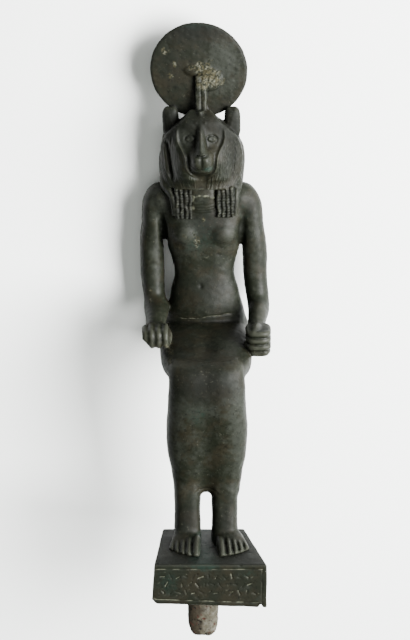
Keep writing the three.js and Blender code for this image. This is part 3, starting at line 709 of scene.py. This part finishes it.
def head_half(y):
    """Half the width of the head's front: the ruff's lower edge, full cheeks, a round crown."""
    heights = [70.6, 72, 75, 79, 84, 89, 92, 94.5, 97, 99, 100.4, 101.2, 101.6]
    halves = [12.7, 14, 15.3, 16, 16, 15, 13.4, 10.9, 8.2, 6.3, 5, 4.2, 3.4]
    return eased(y, heights, halves)


def face_relief(x, y):
    """How far the head's front stands out at each place: x from the face's middle."""
    across = np.abs(x)
    share = np.clip(across / 16.7, 0, 0.998)
    profile = eased(y, [70, 74, 78, 84, 90, 94, 96, 98, 99.6, 100.8, 101.6],
                    [0.95, 0.95, 0.98, 1, 1, 0.98, 0.94, 0.87, 0.77, 0.64, 0.5])
    z = 12 * np.sqrt(1 - share**2) * profile
    z += 2.4 * bump(across - 5.6, 3.2) * bump(y - MOUTH - 2.5, 6)
    edge = across - mask_half(y)
    inside = ramp(-edge, 0, 1.2)
    # Sockets sunk either side of the bridge, under a low brow
    z -= 1.0 * bump(across - 4.8, 2.4) * bump(y - EYE + 0.3, 3.3) * inside
    z += 0.4 * bump(across - 5, 3.2) * bump(y - BROW - 1.2, 2.2)
    z += 0.3 * bump(np.hypot(across - 1.8, y - BROW - 1.8), 0.5)
    # Eyeballs with a cut line and lids round them and a drilled pupil
    eye = np.hypot((across - 4.3) / 1.75, (y - EYE + 0.12 * (across - 4.3)) / 1.2)
    lid = 0.35 + 0.65 * ramp(y - EYE, -0.5, 0.5)
    z += 0.9 * np.sqrt(np.clip(1 - eye**2, 0, 1)) + 0.3 * lid * bump(eye - 1.5, 0.3)
    z -= 0.5 * bump(eye, 0.4) + 0.45 * lid * bump(eye - 1.1, 0.2)

    def over(under, form, blend=1.2):
        """The higher of two forms, run together where they meet."""
        return (under + form + np.sqrt((under - form) ** 2 + blend**2) - 0.5 * blend) / 2

    # Bridge, sloped either side of a soft crest, and the nose's tip
    bridge = np.clip((BROW + 2 - y) / (BROW + 2 - NOSE_TIP), 0, 1)
    half = 1.3 + 0.5 * bridge**2
    ridge = NOSE_REACH + 0.3 - 7.5 * (1 - bridge) ** 0.65
    ridge = ridge - 0.8 * np.sqrt(across**2 + 0.1) - 0.8 * (across / half) ** 4
    z = over(z, ridge - 30 * ramp(NOSE_TIP - y, 0, 4) - 3 * ramp(y - BROW, -1.5, 3.5), 0.9)
    # Muzzle: two full pads with a cleft between them, a long mouth and a small chin
    rise, fall = np.maximum(y - NOSE_TIP + 2.2, 0), np.maximum(NOSE_TIP - 2.2 - y, 0)
    lips = NOSE_REACH - 1.6 - 0.07 * across**2 - 0.0052 * across**4
    lips = lips - 0.5 * rise**2 - 0.03 * fall**2 - 0.0011 * fall**4
    lips = lips + 0.6 * bump(across - 2.6, 1.7) * bump(y - NOSE_TIP + 3.2, 2.4)
    z = over(z, lips, 1)
    z -= 0.4 * bump(across, 0.4) * ramp(y, MOUTH - 0.6, MOUTH) * ramp(NOSE_TIP - y, 0.2, 1)
    smile = MOUTH - 0.3 + 0.07 * across**2
    z -= 0.55 * bump(y - smile, 0.45) * (1 - ramp(across, 3.4, 4.8))
    for k in range(3):
        whisker = y - (NOSE_TIP - 0.2 - 1.2 * k) - 0.12 * (across - 3.5) ** 2 * (1 - 0.7 * k)
        z -= 0.16 * bump(whisker, 0.24) * ramp(across, 2.4, 3.2) * (1 - ramp(across, 5, 5.8))
    # The bare face ends in a soft raised rim, and the ruff swells outside it
    z += 0.9 * bump(edge, 0.6) * ramp(y, 75, 77.5) * (1 - ramp(y, 93, 96.5))
    lobe = np.clip(edge / np.maximum(11.3 - mask_half(y), 1), 0, 1)
    z += 1.3 * np.sin(math.pi * lobe) ** 0.8 * ramp(y, 73, 76) * (1 - ramp(y, 88, 94))
    parting = np.where(x < 0, 1.9, 0.8) * bump(across - 11.5 - 0.12 * (y - 73), 0.85)
    return z - parting * ramp(y, 71.5, 76) * (1 - ramp(y, 86, 91))


def fur(x, y):
    """Locks that run from the crown down the sides and end in a fringe under the chin."""
    run = np.clip((y - 84) / 19, -0.72, 0.96)
    meridian = x / np.sqrt(1 - run**2)
    phase = meridian * 3.1 + 0.5 * np.sin(y * 0.7 + meridian) + 0.6 * np.sin(1.7 * meridian + 0.2 * y)
    notched = 0.62 + 0.38 * np.sin(1.9 * y + 5 * np.sin(1.3 * phase)) * ramp(x, 6, 9)
    locks = np.abs(np.sin(phase)) ** 0.8 * notched
    smooth_lobe = 0.7 * ramp(-x, 5, 6) * (1 - ramp(-x, 10.5, 11.5)) * ramp(90 - y, 0, 3) * ramp(y, 74, 76)
    return locks * ramp(np.abs(x) - mask_half(y), 0.7, 1.8) * (1 - smooth_lobe)


def head_front():
    heights = np.linspace(RUFF_EDGE - 0.3, CROWN + 0.5, 170)
    shares = np.sin(np.linspace(-1, 1, 190) * math.pi / 2) * 0.35 + np.linspace(-1, 1, 190) * 0.65
    y = heights[:, None] + 0 * shares[None, :]
    x = head_half(y) * shares[None, :]
    fringe = 0.35 * np.abs(np.sin(x * 2.7)) * (1 - ramp(y, RUFF_EDGE - 0.3, RUFF_EDGE + 2))
    locks = 0.3 * np.abs(np.sin(x * 2 + 0.5 * np.sin(0.9 * y)))
    locks = locks * ramp(4.5 - np.abs(x - 5.2), 0, 1.5) * ramp(76.5 - y, 0, 1.5)
    z = np.maximum(face_relief(x, y) + locks, 1.5)
    front = np.stack([x, y + fringe, z], -1)
    back_z = -4 + 9 * ramp(heights, EYE, CROWN - 1)
    sides = [np.stack([side * head_half(heights), heights, back_z], -1)[:, None] for side in (-1, 1)]
    rings = np.concatenate([sides[0], front, sides[1]], 1)
    rings[..., 0] += FACE_MIDDLE
    return skin(rings)


def wig():
    rows = [
        [SHOULDER - 12, 12.5, -3, BACK_PLANE + 1.5],
        [SHOULDER - 6, WIG_HALF_WIDTH - 2.4, 1, BACK_PLANE + 0.4],
        [SHOULDER + 1, WIG_HALF_WIDTH - 0.6, 4, BACK_PLANE],
        [SHOULDER + 9, WIG_HALF_WIDTH, 5.5, BACK_PLANE],
        [SHOULDER + 15, WIG_HALF_WIDTH - 1.1, 5.5, BACK_PLANE + 0.2],
        [SHOULDER + 20, WIG_HALF_WIDTH - 3.8, 4.6, BACK_PLANE + 1.2],
        [CROWN - 7.6, WIG_HALF_WIDTH - 7, 4, BACK_PLANE + 4],
        [CROWN - 5.4, WIG_HALF_WIDTH - 11, 3, -4.4],
        [CROWN - 4.4, 2.6, 2, -2],
    ]

    def strands(rings, turns):
        ridge = 0.22 * (np.abs(np.sin(22 * turns + 0.25 * np.sin(rings[..., 1] * 0.5))) - 0.5)
        rings[..., 0] += ridge * np.cos(turns) + 0.7 * bump(rings[..., 1] - SHOULDER - 16, 6)
        rings[..., 2] = np.maximum(rings[..., 2] + ridge * np.sin(turns), BACK_PLANE)
        return rings

    return column(rows, 2.5, middle=MIDDLE_LINE, sides=280, carve=strands)


def ear(side):
    x, y = EARS_MIDDLE + side * 12, CROWN - 5.4

    def cupped(rings):
        a, b, c = rings[..., 0], rings[..., 1], rings[..., 2]
        squared = 1 + 0.17 * np.sin(2 * np.arctan2(b, a)) ** 2 * np.hypot(a, b)
        cup = np.where(c > 0, 0.14 * bump(np.hypot(a - 0.1 * side, b - 0.04), 0.6), 0)
        fold = np.where(c > 0, 0.08 * bump(a + side * (0.2 - 0.7 * b), 0.18) * bump(b + 0.1, 0.6), 0)
        return np.stack([a * squared, b * squared, c - cup + fold], -1)

    shell = ball([x, y, 2.4], [3.15, 6.4, 2.7], 90, cupped)
    root = ball([x - side * 1.2, y - 4.2, 1.6], [3.2, 4, 2.1], 40)
    return [shell, root]


def sun_disk():
    half, rim = 1.8, 0.9
    turns = around(220)
    face = [[0.2, half], [DISK_RADIUS * 0.6, half * 0.8],
            [DISK_RADIUS - 0.9, rim], [DISK_RADIUS - 0.15, rim * 0.7]]
    outline = np.array([[radius, -z] for radius, z in face] + [[DISK_RADIUS, 0]] + face[::-1])
    radius, z = outline[:, :1], outline[:, 1:]
    x, y = MIDDLE_LINE + radius * np.cos(turns), DISK_MIDDLE - radius * np.sin(turns)
    root = [[CROWN - 8, 6, 6, -6], [CROWN - 2.6, 4.2, 3.6, -3.6], [CROWN + 2.5, 3, 1.5, -1.5]]
    return [skin(np.stack([x, y, z + 0 * turns], -1)), column(root, sides=48, steps=30)]


def serpent():
    face, hood = 1.8, DISK_MIDDLE - 2.8
    strips = [
        limb([
            [x, CROWN - 4, face + 3.4, 0.8, 1],
            [x, CROWN + 0.6, face + 3.2, 1, 1.4],
            [x, (CROWN + hood) / 2, face + 1, 1.1, 1.6],
            [x + 0.1, hood + 1, face + 0.3, 1.1, 1.4],
        ], 4, steps=60)
        for x in (-0.2, 2)
    ]
    mound = [
        ball([4, hood - 0.4, face], [5, 4.5, 1.5]),
        ball([0.4, hood + 3, face - 0.3], [6, 2.6, 1]),
    ]
    return strips + mound


def bead_net(braids, beads, pitch, length, width, thickness, finish):
    """Braids side by side as a net of beads, each bead one turn of a braid."""
    tree = bpy.data.node_groups.new("braid_beads", "GeometryNodeTree")
    sizes = [("Braids", "NodeSocketInt", braids), ("Beads", "NodeSocketInt", beads),
             ("Width across all", "NodeSocketFloat", pitch * (braids - 1)),
             ("Length of all", "NodeSocketFloat", length * (beads - 1)),
             ("Bead size", "NodeSocketVector", (width, length * 0.62, thickness))]
    for label, kind, _ in sizes:
        tree.interface.new_socket(label, in_out="INPUT", socket_type=kind)
    tree.interface.new_socket("Geometry", in_out="OUTPUT", socket_type="NodeSocketGeometry")
    add, link = tree.nodes.new, tree.links.new
    given = add("NodeGroupInput")
    net = add("GeometryNodeMeshGrid")
    for label, socket in {"Width across all": "Size X", "Length of all": "Size Y",
                          "Braids": "Vertices X", "Beads": "Vertices Y"}.items():
        link(given.outputs[label], net.inputs[socket])
    bead = add("GeometryNodeMeshUVSphere")
    for label, value in {"Segments": 16, "Rings": 10, "Radius": 1}.items():
        bead.inputs[label].default_value = value
    strung = add("GeometryNodeInstanceOnPoints")
    link(net.outputs["Mesh"], strung.inputs["Points"])
    link(bead.outputs["Mesh"], strung.inputs["Instance"])
    link(given.outputs["Bead size"], strung.inputs["Scale"])
    real = add("GeometryNodeRealizeInstances")
    link(strung.outputs["Instances"], real.inputs["Geometry"])
    cast = add("GeometryNodeSetMaterial")
    cast.inputs["Material"].default_value = finish
    link(real.outputs["Geometry"], cast.inputs["Geometry"])
    link(cast.outputs["Geometry"], add("NodeGroupOutput").inputs["Geometry"])
    holder = new_object("braids", bpy.data.meshes.new("braids"))
    strings = holder.modifiers.new("beads", "NODES")
    strings.node_group = tree
    for label, _, value in sizes:
        socket = next(item for item in tree.interface.items_tree if item.name == label)
        strings[socket.identifier] = value
    mesh = finished_mesh(holder)
    mesh.calc_loop_triangles()
    return read(mesh.vertices, "co"), read(mesh.loop_triangles, "vertices", kind=int)


def lappets(finish):
    inner, outer, low, top, braids, beads = 4.6, 11.6, SHOULDER - 11.4, SHOULDER + 0.4, 4, 11
    pitch = (outer - inner) / braids
    points, faces = bead_net(braids, beads, pitch, (top - low) / (beads - 0.6), pitch * 0.46, 0.95, finish)
    shells = []
    for side in (-1, 1):
        middle = LAPPETS_MIDDLE + side * (inner + outer) / 2
        placed = points + [middle, (low + top) / 2 + 0.35 * side, 0]
        placed[:, 0] += 0.16 * waviness(placed, 4, 20)
        lift = 0.04 * (placed[:, 1] - low)
        placed[:, 2] = points[:, 2] + 8.4 + lift - 0.004 * (placed[:, 0] - LAPPETS_MIDDLE) ** 2
        placed[:, 2] += 0.16 * waviness(placed, 2.4, 21)
        shells.append((placed, faces))
        shells.append(limb([
            [middle, low - 0.3, 6.6, 3.3, 1.1],
            [middle, SHOULDER - 4, 6.8, 3.3, 1.3],
            [middle, top, 7, 3.3, 1.5],
        ], 4))
        shells.append(limb([
            [LAPPETS_MIDDLE + side * (outer + 0.2), low + 0.4, 6.2, 1.2, 2.4],
            [LAPPETS_MIDDLE + side * (outer + 0.8), SHOULDER - 4, 5.4, 1.5, 3],
            [side * (WIG_HALF_WIDTH - 3), top, 2.2, 2.4, 3.6],
            [side * (WIG_HALF_WIDTH - 2.6), top + 4, -1, 1.6, 2.8],
        ]))
    return shells


head_points, head_faces = remeshed(
    [head_front(), wig()] + ear(-1) + ear(1) + sun_disk() + serpent() + lappets(bronze), HEAD_VOXEL
)
head_points = softened(head_points, head_faces, 3)
head_out = outward(head_points, head_faces)
hx, hy, hz = head_points.T
aside = np.abs(hx - FACE_MIDDLE)
on_front = ramp(hz, 1, 3) * ramp(head_out[:, 2], 0.05, 0.35) * ramp(hy, RUFF_EDGE + 0.1, RUFF_EDGE + 0.9)
on_front = on_front * (1 - ramp(hy, 95, 98)) * (1 - ramp(hy, 90, 92) * ramp(aside, 9.4, 10.4))
head_points = head_points + head_out * (0.32 * (fur(hx - FACE_MIDDLE, hy) - 0.6) * on_front)[:, None]
head_points += head_out * (0.05 * waviness(head_points, 7, 4) + 0.025 * waviness(head_points, 2, 5))[:, None]
rough_hood = bump(np.hypot(hx - 2.2, hy - DISK_MIDDLE + 2), 7.5) * ramp(hz, 1.9, 2.6)
rough = 0.16 * waviness(head_points, 2.4, 6) + 0.08 * waviness(head_points, 0.9, 16)
head_points += head_out * (rough_hood * rough)[:, None]
head_points = pitted(head_points, head_faces, 90, 7, 0.14)
head_points[:, 2] = np.maximum(head_points[:, 2], BACK_PLANE)
head_green = patches(head_points, [
    [2.8, 80.4, 2.4, 1.4, 1.0],
    [0, DISK_MIDDLE + 18, 16, 2.4, 0.8],
    [0, 66, 6, 6, 0.4],
])
head_crust = patches(head_points, [
    [6.6, DISK_MIDDLE - 3.4, 4.4, 3.8, 0.85],
    [3, DISK_MIDDLE + 0.8, 4, 4.4, 0.7],
    [-2.4, DISK_MIDDLE + 1.4, 5, 2.6, 0.5],
    [0.8, DISK_MIDDLE - 5.2, 2.6, 3, 0.7],
    [-12.4, DISK_MIDDLE + 8, 3, 2.6, 0.68],
    [-9, DISK_MIDDLE + 2.6, 1.2, 2, 0.7],
    [-10.8, DISK_MIDDLE - 2, 1.8, 1.8, 0.72],
    [-6, DISK_MIDDLE - 9.8, 1, 1.2, 0.8],
    [7, DISK_MIDDLE + 9, 5, 3, 0.4],
    [3, CROWN - 1.4, 3, 0.8, 0.5],
    [13.5, 78.5, 2.6, 5, 0.36],
    [4.5, 78.8, 3, 1.2, 0.4],
    [-4.2, EYE, 2.4, 3, 0.5],
    [5.5, EYE + 0.5, 2, 2, 0.45],
])
# Partly painted light: the left eye socket is lightened against the shade of the bridge, and the disk is
# greyer and lighter on its right, toward the lamp, and darker on its left.
head_wear_and_painted_light = patches(head_points, [
    [9, DISK_MIDDLE + 3, 7, 9, 1.0],
    [-8, 92, 2.4, 3, 0.5],
    [-4, EYE, 4, 4, 0.6],
    [-8, DISK_MIDDLE + 2, 9, 16, -0.7],
])
# Painted shade on the disk's left side, away from the lamp; on the forehead, the disk's top, the right cheek
# and the ears these patches only darken the colour.
head_dark = patches(head_points, [
    [0.5, 97, 10, 5, 0.9],
    [0, DISK_MIDDLE + 16, 20, 5, 0.9],
    [-9, DISK_MIDDLE, 8, 12, 0.45],
    [13, 84, 5, 12, 0.7],
    [12, CROWN - 5, 4.5, 7, 0.9],
    [-12, CROWN - 5, 4.5, 7, 0.8],
])
on_beads = ramp(hz, 7.9, 8.5) * ramp(SHOULDER + 0.4 - hy, 0, 0.4)
on_beads = on_beads * ramp(np.abs(hx - LAPPETS_MIDDLE), 4.4, 4.6)
on_rim = bump(aside - mask_half(hy), 0.45) * ramp(hz, 6, 8) * ramp(hy, 75, 78) * (1 - ramp(hy, 92, 95))
loose = ramp(waviness(head_points, 2.4, 22), -0.2, 1)
loose_dust = loose * (0.26 + 0.1 * ramp(hx, 0, 2))
head_dark = np.maximum(head_dark, on_beads * (1 - 0.6 * loose) * (1 - 0.25 * ramp(hx, 0, 2)))
disk_edge = ramp(np.hypot(hx - MIDDLE_LINE, hy - DISK_MIDDLE), DISK_RADIUS - 1.2, DISK_RADIUS - 0.5)
head_dark = np.maximum(head_dark, 0.8 * disk_edge * ramp(hy, CROWN, CROWN + 3))
head_dust = loose_dust * on_beads + 0.5 * on_rim
cast_piece(
    "figure_head", head_points, head_faces,
    green=head_green, crust=head_crust, dust=head_dust, worn=head_wear_and_painted_light, dark=head_dark,
)

# The plinth: a low block that widens to the front, framed by fine grooves round rows of
# shallow strokes, with a chipped corner, and the tang below it that held it in its stand.
# Both are cast in one with the feet; the tang kept the casting's rough pale skin.

PLINTH_VOXEL = 0.26
PLINTH_HEIGHT = 17.0
PLINTH_LOW = SOLE - PLINTH_HEIGHT
PLINTH_BACK = HEEL - 0.6
PLINTH_FRONT = PLINTH_BACK + 34.0
PLINTH_LEFT, PLINTH_RIGHT = 1.8 - 22, 1.8 + 22
PLINTH_BACK_LEFT, PLINTH_BACK_RIGHT = -1 - 16.3, -1 + 16.3
UNDERSIDE_SLOPE = 1.6 / 43.4
TANG_MIDDLE = -1.15


def plinth():
    steps = np.linspace(0, 1, 24)[:, None]
    corners = np.array([[PLINTH_LEFT, PLINTH_FRONT], [PLINTH_RIGHT, PLINTH_FRONT],
                        [PLINTH_BACK_RIGHT, PLINTH_BACK], [PLINTH_BACK_LEFT, PLINTH_BACK]])
    outline = np.concatenate([a + (b - a) * steps[:-1] for a, b in zip(corners, np.roll(corners, -1, 0))])
    centre = outline.mean(0)
    rings = []
    lower = [(0, 0.5), (0.15, 0.15), (0.5, 0)]
    upper = [(PLINTH_HEIGHT - height, inset) for height, inset in lower[::-1]]
    for height, inset in lower + [(5, 0), (9, 0), (13, 0)] + upper:
        flat = outline + (centre - outline) / np.linalg.norm(centre - outline, axis=1)[:, None] * inset
        low = UNDERSIDE_SLOPE * (flat[:, 0] - PLINTH_LEFT) * (1 - height / PLINTH_HEIGHT)
        flare = ramp(-flat[:, 0], 8, 20) * (1 - height / PLINTH_HEIGHT)
        rings.append(np.stack([flat[:, 0] - flare, PLINTH_LOW + height - low, flat[:, 1]], 1))
    return skin(np.array(rings))


def tang():
    z = (PLINTH_FRONT + PLINTH_BACK) / 2
    end = PLINTH_LOW - 21.7
    rows = [
        [PLINTH_LOW + 1, 5.75, z + 3.25, z - 3.25],
        [PLINTH_LOW - 6.5, 6, z + 3.25, z - 3.25],
        [PLINTH_LOW - 15.2, 5.9, z + 3.25, z - 3.25],
        [end + 2.6, 5.2, z + 2.85, z - 2.85],
        [end + 0.6, 3.7, z + 2.05, z - 2.05],
        [end, 2.5, z + 1.45, z - 1.45],
    ]
    return column(rows, 3.6, middle=TANG_MIDDLE, sides=90)


def strokes(x, y):
    """Three rows of short loose strokes, leaning this way and that, none joined to another."""
    depth = np.zeros(len(x))
    left, right, middle = PLINTH_LEFT + 3.4, PLINTH_RIGHT - 5, PLINTH_LOW + 8.4
    for row, level in enumerate((3.4, 0, -3.4)):
        for k in range(13 - row % 2):
            mx = left + (right - left) * (k + 0.5 * (row % 2)) / 12
            my = middle + level + 0.35 * math.sin(2.3 * k + row)
            turn = 1.9 * k + 1.1 * row + 0.4 * math.sin(3 * k)
            reach = 0.85 + 0.3 * math.sin(1.7 * k + 2 * row)
            along = np.clip((x - mx) * math.cos(turn) + (y - my) * math.sin(turn), -reach, reach)
            away = np.hypot(x - mx - along * math.cos(turn), y - my - along * math.sin(turn))
            depth = np.maximum(depth, (0.75 + 0.25 * math.sin(2.9 * k + row)) * bump(away, 0.27))
    return depth


base_points, base_faces = remeshed([plinth(), tang()], PLINTH_VOXEL)
base_points = softened(base_points, base_faces, 14)
px, py, pz = base_points.T
low_edge = PLINTH_LOW - UNDERSIDE_SLOPE * (px - PLINTH_LEFT)
on_face = ramp(pz, PLINTH_FRONT - 0.6, PLINTH_FRONT - 0.3)
frame_right = PLINTH_RIGHT - 2.0
level_lines = np.maximum(bump(py - (SOLE - 2), 0.2), bump(py - (low_edge + 2.1), 0.2))
grooves = level_lines * (1 - ramp(px, frame_right + 0.3, frame_right + 0.8))
grooves = np.maximum(grooves, 0.6 * bump(px - frame_right, 0.2) * (1 - ramp(py, SOLE - 2, SOLE - 1.6)))
worn = 0.45 + 0.55 * ramp(waviness(base_points, 5, 23), -0.8, 0.8)
cut_lines = on_face * worn * np.maximum(grooves, strokes(px, py))
base_points[:, 2] -= 0.4 * cut_lines
chip = bump(px - (PLINTH_RIGHT - 2.5), 0.7) * bump(py - low_edge, 2)
chip = chip * ramp(pz, PLINTH_FRONT - 5, PLINTH_FRONT - 1)
base_points[:, 1] += 1.3 * chip
worn_corner = np.clip((PLINTH_LEFT + 1.6 - px) / 2, 0, 1) ** 2 * bump(py - low_edge, 2)
base_points[:, 1] += 1.5 * worn_corner
base_out = outward(base_points, base_faces)
base_points += base_out * (0.06 * waviness(base_points, 9, 8))[:, None]
on_tang = ramp(low_edge - py, 0.2, 1)
rough = 0.1 * waviness(base_points, 4, 24) + 0.05 * waviness(base_points, 1.2, 10)
base_points += base_out * (on_tang * rough)[:, None]
base_points = pitted(base_points, base_faces, 60, 12, 0.25, lambda p: p[:, 1] > PLINTH_LOW)
base_points = pitted(base_points, base_faces, 22, 13, 0.5, lambda p: p[:, 1] < PLINTH_LOW - 1)
base_green = patches(base_points, [
    [-1, SOLE, 7, 3, 1.0],
    [-15, SOLE - 8, 5, 6, 0.7],
    [16, SOLE - 4, 5, 4, 0.5],
])
# Painted shade on the plinth's top, deepest toward its front, over a slightly darker colour all over the
# plinth.
near_front = ramp(pz, PLINTH_FRONT - 10, PLINTH_FRONT - 4)
base_dark = 0.2 + ramp(py, SOLE - 0.5, SOLE - 0.2) * (0.7 + 0.3 * near_front) * (1 - 0.7 * base_green)
base = cast_piece(
    "plinth_and_tang", base_points, base_faces,
    green=base_green, dust=1.15 * cut_lines, dark=base_dark,
)

BEIGE, LEFT_SHADE_BROWN, CHALK = (0.036, 0.033, 0.023), (0.012, 0.0095, 0.0055), (0.062, 0.059, 0.047)
RUST, PIT = (0.022, 0.009, 0.006), (0.002, 0.0015, 0.001)
LEFT_SHADE_REACH = 4.0

raw = Finish("raw_casting")
# Painted shade: the tang turns brown toward its left side, away from the lamp, in uneven clouds.
rightward = raw.node("SeparateXYZ", "X", {"Vector": raw.node("TexCoord", "Object")})
painted_left_shade = raw.times(rightward, -1 / (LEFT_SHADE_REACH * MM))
painted_left_shade = raw.plus(painted_left_shade, raw.times(raw.clouds(3, 5), 2.4))
raw_colour = raw.layered(BEIGE, [
    (CHALK, raw.spread(raw.clouds(3, 4), 0.45, 0.65)),
    (LEFT_SHADE_BROWN, raw.spread(painted_left_shade, 1.25, 1.9, 0.95)),
    (RUST, raw.spread(raw.clouds(2, 3), 0.58, 0.66)),
    (PIT, raw.spread(raw.clouds(1.6, 4, 0.7), 0.59, 0.64)),
    (PIT, raw.spread(raw.mark("hollow"), 0.5, 1)),
])
raw.shaded({"Base Color": raw_colour, "Roughness": 0.8, "Specular IOR Level": 0.1})
raw.grained(0.7, 0.6)
base.data.materials.append(raw.material)
raw_faces = (on_tang[base_faces].mean(1) > 0.5).astype(np.int32)
base.data.polygons.foreach_set("material_index", raw_faces)

# The floor: a plain pale sheet that the figure lies on. A broad lamp at the right lights it
# softly, the surroundings glow overhead and fill the shadows, and the camera looks down from
# a little beyond the head.

FLOOR_HALF = 1.5
PAPER = (0.78, 0.8, 0.78)

floor_mesh = bpy.data.meshes.new("floor")
corners = [(x * FLOOR_HALF, y * FLOOR_HALF, 0) for x, y in ((-1, -1), (1, -1), (1, 1), (-1, 1))]
floor_mesh.from_pydata(corners, [], [(0, 1, 2, 3)])
floor = new_object("floor", floor_mesh)
paper = Finish("pale_paper")
paper.shaded({"Base Color": PAPER, "Roughness": 0.9})
floor_mesh.materials.append(paper.material)

LAMP_PLACE = Vector((0.78, 0.2, 0.62))
LAMP_AIM = Vector((0.12, 0.12, 0))
LAMP_SIDE = 0.8
LAMP_POWER = 38
LAMP_SPREAD = math.radians(90)

lamp_data = bpy.data.lights.new("lamp", "AREA")
lamp_data.shape = "RECTANGLE"
lamp_data.size = lamp_data.size_y = LAMP_SIDE
lamp_data.energy = LAMP_POWER
lamp_data.spread = LAMP_SPREAD
lamp = new_object("lamp", lamp_data)
lamp.location = LAMP_PLACE
lamp.rotation_euler = (LAMP_AIM - LAMP_PLACE).to_track_quat("-Z", "Y").to_euler()

GLOW_COLOUR = (0.97, 1, 0.96, 1)
GLOW_WAY = (-0.15, 0.05, 0.987)
GLOW_EDGE = 0.8  # the cosine of the angle from the glow's middle to its edge
GLOW, FILL = 2.5, 0.07

surroundings = bpy.data.worlds.new("surroundings")
surroundings.use_nodes = True
sky = surroundings.node_tree
backdrop = sky.nodes["Background"]
backdrop.inputs["Color"].default_value = GLOW_COLOUR
way = sky.nodes.new("ShaderNodeTexCoord")
toward_glow = sky.nodes.new("ShaderNodeVectorMath")
toward_glow.operation = "DOT_PRODUCT"
toward_glow.inputs[1].default_value = GLOW_WAY
sky.links.new(way.outputs["Generated"], toward_glow.inputs[0])
overhead = sky.nodes.new("ShaderNodeMapRange")
overhead.interpolation_type = "SMOOTHERSTEP"
for label, value in {"From Min": GLOW_EDGE, "To Min": FILL, "To Max": GLOW}.items():
    overhead.inputs[label].default_value = value
sky.links.new(toward_glow.outputs["Value"], overhead.inputs["Value"])
sky.links.new(overhead.outputs["Result"], backdrop.inputs["Strength"])
bpy.context.scene.world = surroundings

CAMERA_LIFT = math.radians(20)
CAMERA_AWAY = 1.04
CAMERA_AIM = [-0.4, 13, 0]
PICTURE_HALF = 320  # half the picture's height in pixels
PICTURE_SCALE = 2600  # the pixels that a metre takes up from a metre away

camera_data = bpy.data.cameras.new("camera")
camera_data.sensor_fit = "VERTICAL"
camera_data.angle = 2 * math.atan(PICTURE_HALF / PICTURE_SCALE)
camera_data.clip_start = 0.05
camera = new_object("camera", camera_data)
target = Vector((CAD_MIDDLE + CAMERA_AIM) * MM)
camera.location = target + CAMERA_AWAY * Vector((0, math.sin(CAMERA_LIFT), math.cos(CAMERA_LIFT)))
camera.rotation_euler = (-CAMERA_LIFT, 0, 0)
bpy.context.scene.camera = camera
